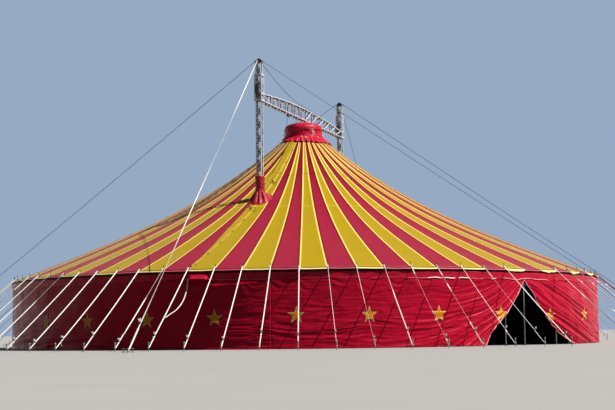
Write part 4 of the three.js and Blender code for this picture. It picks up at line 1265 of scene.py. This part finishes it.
boltSpots = []
chordAt = mast["side"] / 2 - 0.021
for front, side in (("Front", -1), ("Rear", 1)):
    y = side * tent["mastY"]
    latticeMast("mast" + front, y, "mast_" + front.lower())
    for i in (-1, 1):
        for j in (-1, 1):
            boltSpots.append(((i * 0.235, y + j * 0.235, 0.02), (0, 0, 0)))
            for z in mastJoints:
                for dy in (0.0208, -0.0208):
                    for dx in (0.0208, -0.0208):
                        boltSpots.append(((i * chordAt + dx, y + j * chordAt + dy, z + 0.018), (0, 0, 0)))
settle(place("mastBolts", boltShape(0.009, 0.008), boltSpots, mastSteel), "mast_steel")

# Mast heads: base plate, drum, stay flange, cap and two sheaves.
headAt = {"flange": 12.9, "radius": 0.168}


def mastHead(name, y, node, stayAzimuths):
    made = Shape()
    made.add(box((0.30, 0.30, 0.024), (0, y, 12.8153)))
    made.add(lathe([(0, 12.826), (0.060, 12.826), (0.060, 12.884), (0.072, 12.889),
                    (headAt["radius"], 12.890), (headAt["radius"], 12.910), (0.072, 12.911),
                    (0.058, 12.918), (0.058, 12.972), (0.09, 12.976), (0.09, 12.996), (0.05, 13.004),
                    (0, 13.004)], 28, (0, y, 0)))
    for k in range(8):
        a = k * math.pi / 4
        rib = (0.088 * math.sin(a), y + 0.088 * math.cos(a), headAt["flange"] - 0.038)
        made.add(box((0.012, 0.07, 0.05), rib, turn=-k * 45))
    for azimuth in stayAzimuths:
        eyeAt = at(azimuth, headAt["radius"] - 0.012, headAt["flange"]) + [0, y, 0]
        made.add(ringBar(eyeAt, at(azimuth, 0.028, 0), (0, 0, 0.028), 0.008))
    for x in (-0.075, 0.075):
        made.add(wheel([(0, -0.014), (0.05, -0.014), (0.05, -0.009), (0.038, -0.004), (0.038, 0.004),
                        (0.05, 0.009), (0.05, 0.014), (0, 0.014)], 18, (x, y, headAt["flange"] + 0.042)))
    settle(made.piece(name, darkPaint, sharp=30), "dark_paint", node)


# Bridge sleeves: bands round the mast joined by corner posts.
sleeve = {"inner": 0.1385, "wall": 0.038, "bands": (11.085, 11.39, 12.25), "height": 0.07}


def bridgeSleeve(name, y, node):
    made = Shape()
    inner, outer = sleeve["inner"], sleeve["inner"] + sleeve["wall"]
    mid, wide = (inner + outer) / 2, outer * 2
    for z in sleeve["bands"]:
        for i in (-1, 1):
            made.add(box((wide, sleeve["wall"], sleeve["height"]), (0, y + i * mid, z)))
            made.add(box((sleeve["wall"], inner * 2, sleeve["height"]), (i * mid, y, z)))
    low, high = sleeve["bands"][0], sleeve["bands"][-1]
    for i in (-1, 1):
        for j in (-1, 1):
            made.add(rod((i * mid, y + j * mid, low), (i * mid, y + j * mid, high), 0.025, 10))
            for z in sleeve["bands"]:
                bolt = [(i * x, y + j * mid, z) for x in (outer - 0.02, outer + 0.012)]
                made.add(rod(*bolt, 0.010, 6))
    # a diagonal on each side, between the upper two bands
    low = sleeve["bands"][1]
    for j in (-1, 1):
        made.add(rod((-mid, y + j * mid, low), (mid, y + j * mid, high), 0.010, 6))
        made.add(rod((j * mid, y - mid, high), (j * mid, y + mid, low), 0.010, 6))
    settle(rounded(made.piece(name, bridgeSteel), 0.004), "bridge_steel", node)


chainPitch = 0.024


def hoist(name, node, chainLength):
    # a cased hoist with cooling ribs, its hook on top and a chain that hangs from it
    low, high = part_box(node)
    middle = (low + high) / 2
    size = high - low
    made = Shape()
    made.add(box((size.x * 0.86, size.y * 0.9, size.z * 0.62), (middle.x, middle.y, middle.z + size.z * 0.1)))
    made.add(box((size.x, size.y * 0.5, size.z * 0.18), (middle.x, middle.y, high.z - size.z * 0.12)))
    made.add(box((size.x * 0.62, size.y * 0.7, size.z * 0.2), (middle.x, middle.y, low.z + size.z * 0.14)))
    for k in range(6):
        made.add(box((size.x * 0.92, size.y * 0.06, size.z * 0.02),
                     (middle.x, low.y + size.y * 0.03, middle.z - size.z * 0.1 + k * size.z * 0.07)))
    hook = [(middle.x, middle.y, z) for z in (high.z - size.z * 0.04, high.z)]
    made.add(rod(*hook, size.x * 0.09, 10))
    settle(rounded(made.piece(name, darkPaint), 0.006), "dark_paint", node)
    link = Shape().add(ringBar((0, 0, 0), (0.010, 0, 0), (0, 0, 0.017), 0.003, count=10, sides=5))
    x, top = middle.x + size.x * 0.2, low.z - 0.012
    spots = [((x, middle.y, top - chainPitch * k), (0, 0, (k % 2) * math.pi / 2))
             for k in range(round(chainLength / chainPitch))]
    settle(place(name + "Chain", link, spots, mastSteel), "mast_steel")


# which mast, towards which azimuth, how far from the tent's axis the anchor is, and the CAD's node
stays = {
    "stayFrontOut": (-1, 0.0, 19.10, "stay_front_out"),
    "stayFrontLeft": (-1, -76.0, 19.80, "stay_front_left"),
    "stayFrontRight": (-1, 115.8, 19.80, "stay_front_right"),
    "stayRearOut": (1, 180.0, 19.10, "stay_rear_out"),
    "stayRearLeft": (1, -102.0, 19.80, "stay_rear_left"),
    "stayRearRight": (1, 113.6, 19.80, "stay_rear_right"),
}
anchorLook = {"width": 0.50, "height": 0.16}


def stayEnds(side, azimuth, reach):
    y = side * tent["mastY"]
    foot = at(azimuth, reach, anchorLook["height"] / 2)
    out = np.array([foot[0], foot[1] - y, 0])
    out /= np.linalg.norm(out)
    return np.array([0, y, headAt["flange"]]) + out * (headAt["radius"] + 0.012), foot, out


def anchorShape(foot, azimuth):
    # a steel frame held down by three stakes, with a lug for the stay
    made = Shape()
    out, across = directions(azimuth)
    base = foot * [1, 1, 0] + out * 0.045
    for z in (0.03, 0.135):
        made.add(box((anchorLook["width"], 0.05, 0.012), base + [0, 0, z], turn=azimuth))
    for shift in (-0.18, 0.0, 0.18):
        p = base + across * shift
        made.add(lathe([(0, 0), (0.017, 0), (0.017, 0.145), (0.024, 0.147), (0.024, 0.157), (0, 0.159)],
                       12, p))
    made.add(box((0.10, 0.08, 0.02), base - out * 0.008 + [0, 0, 0.082], turn=azimuth))
    return made


turnbuckles = Shape()
for name, (side, azimuth, reach, node) in stays.items():
    head, foot, out = stayEnds(side, azimuth, reach)
    way = foot - head
    long = np.linalg.norm(way)
    way /= long
    across = np.array([-out[1], out[0], 0])
    if name == "stayFrontOut":
        t = np.linspace(0, 1, 60)
        path = head + (foot - head) * t[:, None]
        path[:, 2] -= 0.05 * np.sin(t * math.pi)
        square = np.cross(across, way)
        turns = 0.5 * np.sin(t * 14)
        facing = np.cos(turns)[:, None] * across + np.sin(turns)[:, None] * square
        strap = Shape().add(band(path, facing, 0.036, 0.006))
        doubled = head + (foot - head) * np.linspace(0.94, 0.995, 6)[:, None] + square * 0.012
        strap.add(band(doubled, np.tile(across, (6, 1)), 0.07, 0.006))
        settle(strap.piece(name, strapCloth, sharp=40), "webbing_white", node)
        spot = (head + way * long * 0.925, (math.asin(way[2]), 0, math.radians(azimuth)))
        settle(place("stayRatchet", ratchetShape(), [spot], bridgeSteel, size=0.95), "bridge_steel")
    else:
        stop = foot - way * 0.72
        t = np.linspace(0, 1, 24)
        path = head + (stop - head) * t[:, None]
        path[:, 2] -= 0.06 * np.sin(t * math.pi)
        wire = Shape().add(tube(path, 0.011, 8))
        wire.add(tube([stop + way * 0.02, stop - way * 0.10], 0.015, 8))
        wire.add(tube([head + way * 0.02, head + way * 0.14], 0.015, 8))
        settle(wire.piece(name, wireRope), "stay_cable", node)
        turnbuckles.add(tube([stop + way * 0.02, stop + way * 0.16], 0.009, 8))
        turnbuckles.add(tube([foot - way * 0.18, foot - way * 0.02], 0.009, 8))
        for i in (-1, 1):
            p = stop + across * 0.020 * i
            turnbuckles.add(tube([p + way * 0.12, p + way * 0.56], 0.008, 8))
        for d in (0.12, 0.56):
            turnbuckles.add(tube([stop + way * d - across * 0.03, stop + way * d + across * 0.03], 0.013, 8))
    settle(anchorShape(foot, azimuth).piece("anchor" + name[4:], mastSteel), "mast_steel")
settle(turnbuckles.piece("turnbuckles", dimmedPoleSteel), "pole_steel")

for front, side in (("Front", -1), ("Rear", 1)):
    y = side * tent["mastY"]
    own = [azimuth for mastSide, azimuth, reach, node in stays.values() if mastSide == side]
    mastHead("mastHead" + front, y, "mast_head_" + front.lower(), own)
    bridgeSleeve("bridgeSleeve" + front, y, "bridge_sleeve_" + front.lower())
hoist("hoistFront", "hoist_front", 0.9)
hoist("hoistRear", "hoist_rear", 0.4)
print("masts and stays ready")

# Bridge girder: straight bottom chords, arched top chords, close bracing.
bridge = {"side": 0.1175, "chord": 0.026, "brace": 0.022, "bottom": 11.085, "end": 11.385, "rise": 0.26,
          "reach": 5.935, "bays": 12, "web": 0.020, "laces": 56}


def bridgeTop(y):
    return bridge["end"] + bridge["rise"] * (1 - (y / tent["mastY"]) ** 2)


def bridgeGirder():
    made, braces = Shape(), Shape()
    reach, side, low = bridge["reach"], bridge["side"], bridge["bottom"]
    stops = np.linspace(-reach, reach, bridge["bays"] + 1)
    arch = [(y, bridgeTop(y)) for y in np.linspace(-reach, reach, 31)]
    for x in (-side, side):
        made.add(rod((x, -reach, low), (x, reach, low), bridge["chord"], 12))
        made.add(tube([(x, y, z) for y, z in arch], bridge["chord"], 12))
        for k, y in enumerate(stops):
            braces.add(rod((x, y, low), (x, y, bridgeTop(y)), bridge["web"], 8))
            if k < bridge["bays"]:
                a, b = (y, stops[k + 1]) if k < bridge["bays"] / 2 else (stops[k + 1], y)
                made.add(rod((x, b, low), (x, a, bridgeTop(a)), bridge["web"], 8))
    laces = np.linspace(-reach, reach, bridge["laces"] + 1)
    for k, y in enumerate(laces[:-1]):
        i, ahead = (side if k % 2 else -side), laces[k + 1]
        braces.add(rod((i, y, low), (-i, ahead, low), bridge["brace"], 6))
        braces.add(rod((-i, y, bridgeTop(y)), (i, ahead, bridgeTop(ahead)), bridge["brace"], 6))
    for y in stops:
        for z in (low, bridgeTop(y)):
            braces.add(rod((-side, y, z), (side, y, z), bridge["web"], 8))
    settle(made.piece("bridgeGirder", bridgeSteel), "bridge_steel", "bridge_girder")
    settle(braces.piece("bridgeBraces", braceSteel), "bridge_steel")


bridgeGirder()
# a wire from the bridge's lower chord steadies the cover's left side
hangerAt = np.array([-bridge["side"], -1.9, bridge["bottom"]])
hanger = Shape().add(rod(hangerAt - [0, 0, 0.010], at(-68, 0.845, 10.775), 0.010, 8))
hanger.add(box((0.10, 0.26, 0.05), hangerAt - [0, 0, 0.040]))
settle(hanger.piece("coverHanger", darkPaint), "dark_paint")

# Crown cover: domed top, drum and a flare that spreads over the canopy's upper edge.
cover = {"rows": 46, "columns": 240, "pleats": 31, "drum": 0.965, "flare": 1.42, "flareTop": 10.2}
# how far the flare reaches at each azimuth
flareReach = [(-180, 1.08), (-110, 1.04), (-71, 1.04), (-50, 1.12), (-30, 1.23), (10, 1.36), (40, 1.38),
              (70, 1.38), (100, 1.41), (118, 1.38), (140, 1.20), (180, 1.08)]
coverProfile = np.array([[0.02, 10.958], [0.45, 10.93], [0.73, 10.86], [0.885, 10.755], [0.94, 10.645],
                         [0.946, 10.50], [0.946, 10.30], [0.965, 10.205], [1.12, 10.052], [1.30, 9.898],
                         [1.42, 9.790]])


def crownCover():
    path = throughPoints(np.column_stack([coverProfile[:, 0], 0 * coverProfile[:, 0], coverProfile[:, 1]]), 6)
    along = np.concatenate([[0], np.cumsum(np.linalg.norm(np.diff(path, axis=0), axis=1))])
    rows = np.interp(np.linspace(0, along[-1], cover["rows"]), along, np.arange(len(path)))
    radius = np.interp(rows, np.arange(len(path)), path[:, 0])[:, None]
    height = np.interp(rows, np.arange(len(path)), path[:, 2])[:, None]
    azimuth = np.linspace(0, 360, cover["columns"], endpoint=False)[None, :]
    edge = np.interp((azimuth + 180) % 360 - 180, *zip(*flareReach)) + 0.025 * noise(azimuth / 6, 0, 64)
    spread = (edge - cover["drum"]) / (cover["flare"] - cover["drum"])
    onFlare = (height < cover["flareTop"]) & (radius > cover["drum"])
    radius = np.where(onFlare, cover["drum"] + (radius - cover["drum"]) * spread, radius + 0 * azimuth)
    flat = coverProfile[7:]
    height = np.where(onFlare, np.interp(radius, flat[:, 0], flat[:, 1]), height + 0 * azimuth)
    flare = smooth(10.24 - height, 0.0, 0.3)
    drum = smooth(height, 10.18, 10.32) * (1 - smooth(height, 10.50, 10.62))
    wander = 12 * noise(azimuth / 24, 0, 61)
    pleat = np.sin(np.radians(azimuth * cover["pleats"]) + wander * 0.15)
    radius = radius + 0.042 * pleat * flare - 0.010 * flare
    radius = radius + drum * 0.016 * crest(azimuth / 16 + height * 3, height / 0.12, 63) - 0.012 * drum
    dome = smooth(height, 10.62, 10.8) * (radius > 0.1)
    height = height + 0.030 * np.abs(pleat) * flare + 0.010 * dome * noise(azimuth / 11, radius * 4, 65)
    height = height + 0.02 * noise(azimuth / 5, 0, 66) * smooth(10.0 - height, 0.0, 0.2)
    low = roofCurve(np.clip(radius, 1.0, 14)) + 0.010
    height = np.where(radius > 1.0, np.maximum(height, low), height)
    grid = at(azimuth, radius, height)
    uv = (np.radians(azimuth) + 0 * radius,
          np.linspace(0, along[-1], cover["rows"])[:, None] + 0 * azimuth)
    obj = makeSheet("crownCover", grid, uv, trimCloth, 0.005, ring=True, centre=(0, 0, 9.5))
    settle(obj, "trim_red", "crown_cover")


crownCover()
# the cords that tie the drum, a little wavy; their darker red is partly painted shadow at the lid rim and the
# drum's foot
coverBands = Shape()
turn = np.linspace(0, 2 * math.pi, 72, endpoint=False)
for height, radius in ((10.555, 0.951), (10.225, 0.962)):
    path = np.stack([radius * np.cos(turn), radius * np.sin(turn), height + 0.006 * np.sin(turn * 9)], 1)
    coverBands.add(tube(path, 0.013, 8, loop=True))
settle(coverBands.piece("coverBands", bandCloth), "trim_red")
# white knots with a hanging end, on the lid, the drum and the flare: azimuth, radius, height and size
knotPlaces = [(45.5, 0.965, 10.42, 0.06), (50, 0.965, 10.34, 0.042), (-26, 0.86, 10.79, 0.03),
              (50, 0.86, 10.76, 0.03), (120, 0.965, 10.36, 0.04), (205, 0.965, 10.34, 0.04),
              (290, 0.965, 10.36, 0.04), (14, 1.12, 10.13, 0.035), (24, 1.12, 10.09, 0.04),
              (58, 1.12, 10.12, 0.03)]
knots = Shape()
turn = np.linspace(0, 2 * math.pi, 10, endpoint=False)
twisted = np.stack([np.cos(turn), 0.4 * np.sin(turn * 2), np.sin(turn)], 1)
for azimuth, radius, height, width in knotPlaces:
    p = at(azimuth, radius, height)
    knots.add(tube(p + width * twisted, width * 0.28, 6, loop=True))
    knots.add(tube([p, p + [0.02, -0.02, -width * 2.2]], width * 0.2, 6))
settle(knots.piece("coverKnots", strapCloth), "webbing_white")

# Mast boots: a laced tube that flares out to lie on the roof.
boot = {"tube": 0.211, "top": 7.635, "neck": 6.98, "base": 0.56, "tubeShare": 0.42, "band": 0.219,
        "rows": 44, "columns": 144}


def mastBoot(name, y, node):
    turn = np.linspace(0, 2 * math.pi, boot["columns"], endpoint=False)[None, :]
    t = np.linspace(0, 1, boot["rows"])[:, None]
    share = boot["tubeShare"]
    onTube = t < share
    flare = np.clip((t - share) / (1 - share), 0, 1)
    radius = np.where(onTube, boot["tube"], boot["tube"] + (boot["base"] - boot["tube"]) * flare ** 1.15)
    ripple = np.sin(turn * 9 + 1.5 * noise(turn * 1.3, 0, 71)) * np.sin(flare * math.pi) ** 0.7
    creases = noise(turn * 3.2, t * 26, 73)
    radius = radius + 0.036 * ripple + np.where(onTube, 0.007 * creases, 0.010 * creases * (1 - flare))
    x, v = radius * np.cos(turn), y + radius * np.sin(turn)
    roof = roofCurve(np.hypot(x, v)) + 0.014
    height = np.where(onTube, boot["top"] + (boot["neck"] - boot["top"]) * t / share, 0)
    height = np.where(onTube, height, roof + (boot["neck"] - roof) * (1 - flare) ** 1.55)
    height = np.maximum(height + 0.036 * ripple * flare * (1 - flare) * 3, roof)
    grid = np.stack([x, v, height], -1)
    uv = (turn * 0.35 + 0 * t, 1.4 * (1 - t) + 0 * turn)
    obj = makeSheet(name, grid, uv, bootCloth, 0.005, ring=True, centre=(0, y, 5.5))
    settle(obj, "trim_red", node)
    bands = Shape()
    for z in (boot["top"] - 0.05, boot["top"] - 0.33, boot["neck"] + 0.02):
        bands.add(ringBar((0, y, z), (boot["band"], 0, 0), (0, boot["band"], 0), 0.009, count=36))
    settle(bands.piece(name + "Bands", strapCloth if y > 0 else bandCloth), "trim_red")


mastBoot("mastBootFront", -tent["mastY"], "mast_boot_front")
mastBoot("mastBootRear", tent["mastY"], "mast_boot_rear")

# the crown's ring keeps its CAD shape, which hangs under the cover
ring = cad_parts["crown_ring"]
ring.data.materials.clear()
ring.data.materials.append(mastSteel)
print("crown and boots ready")
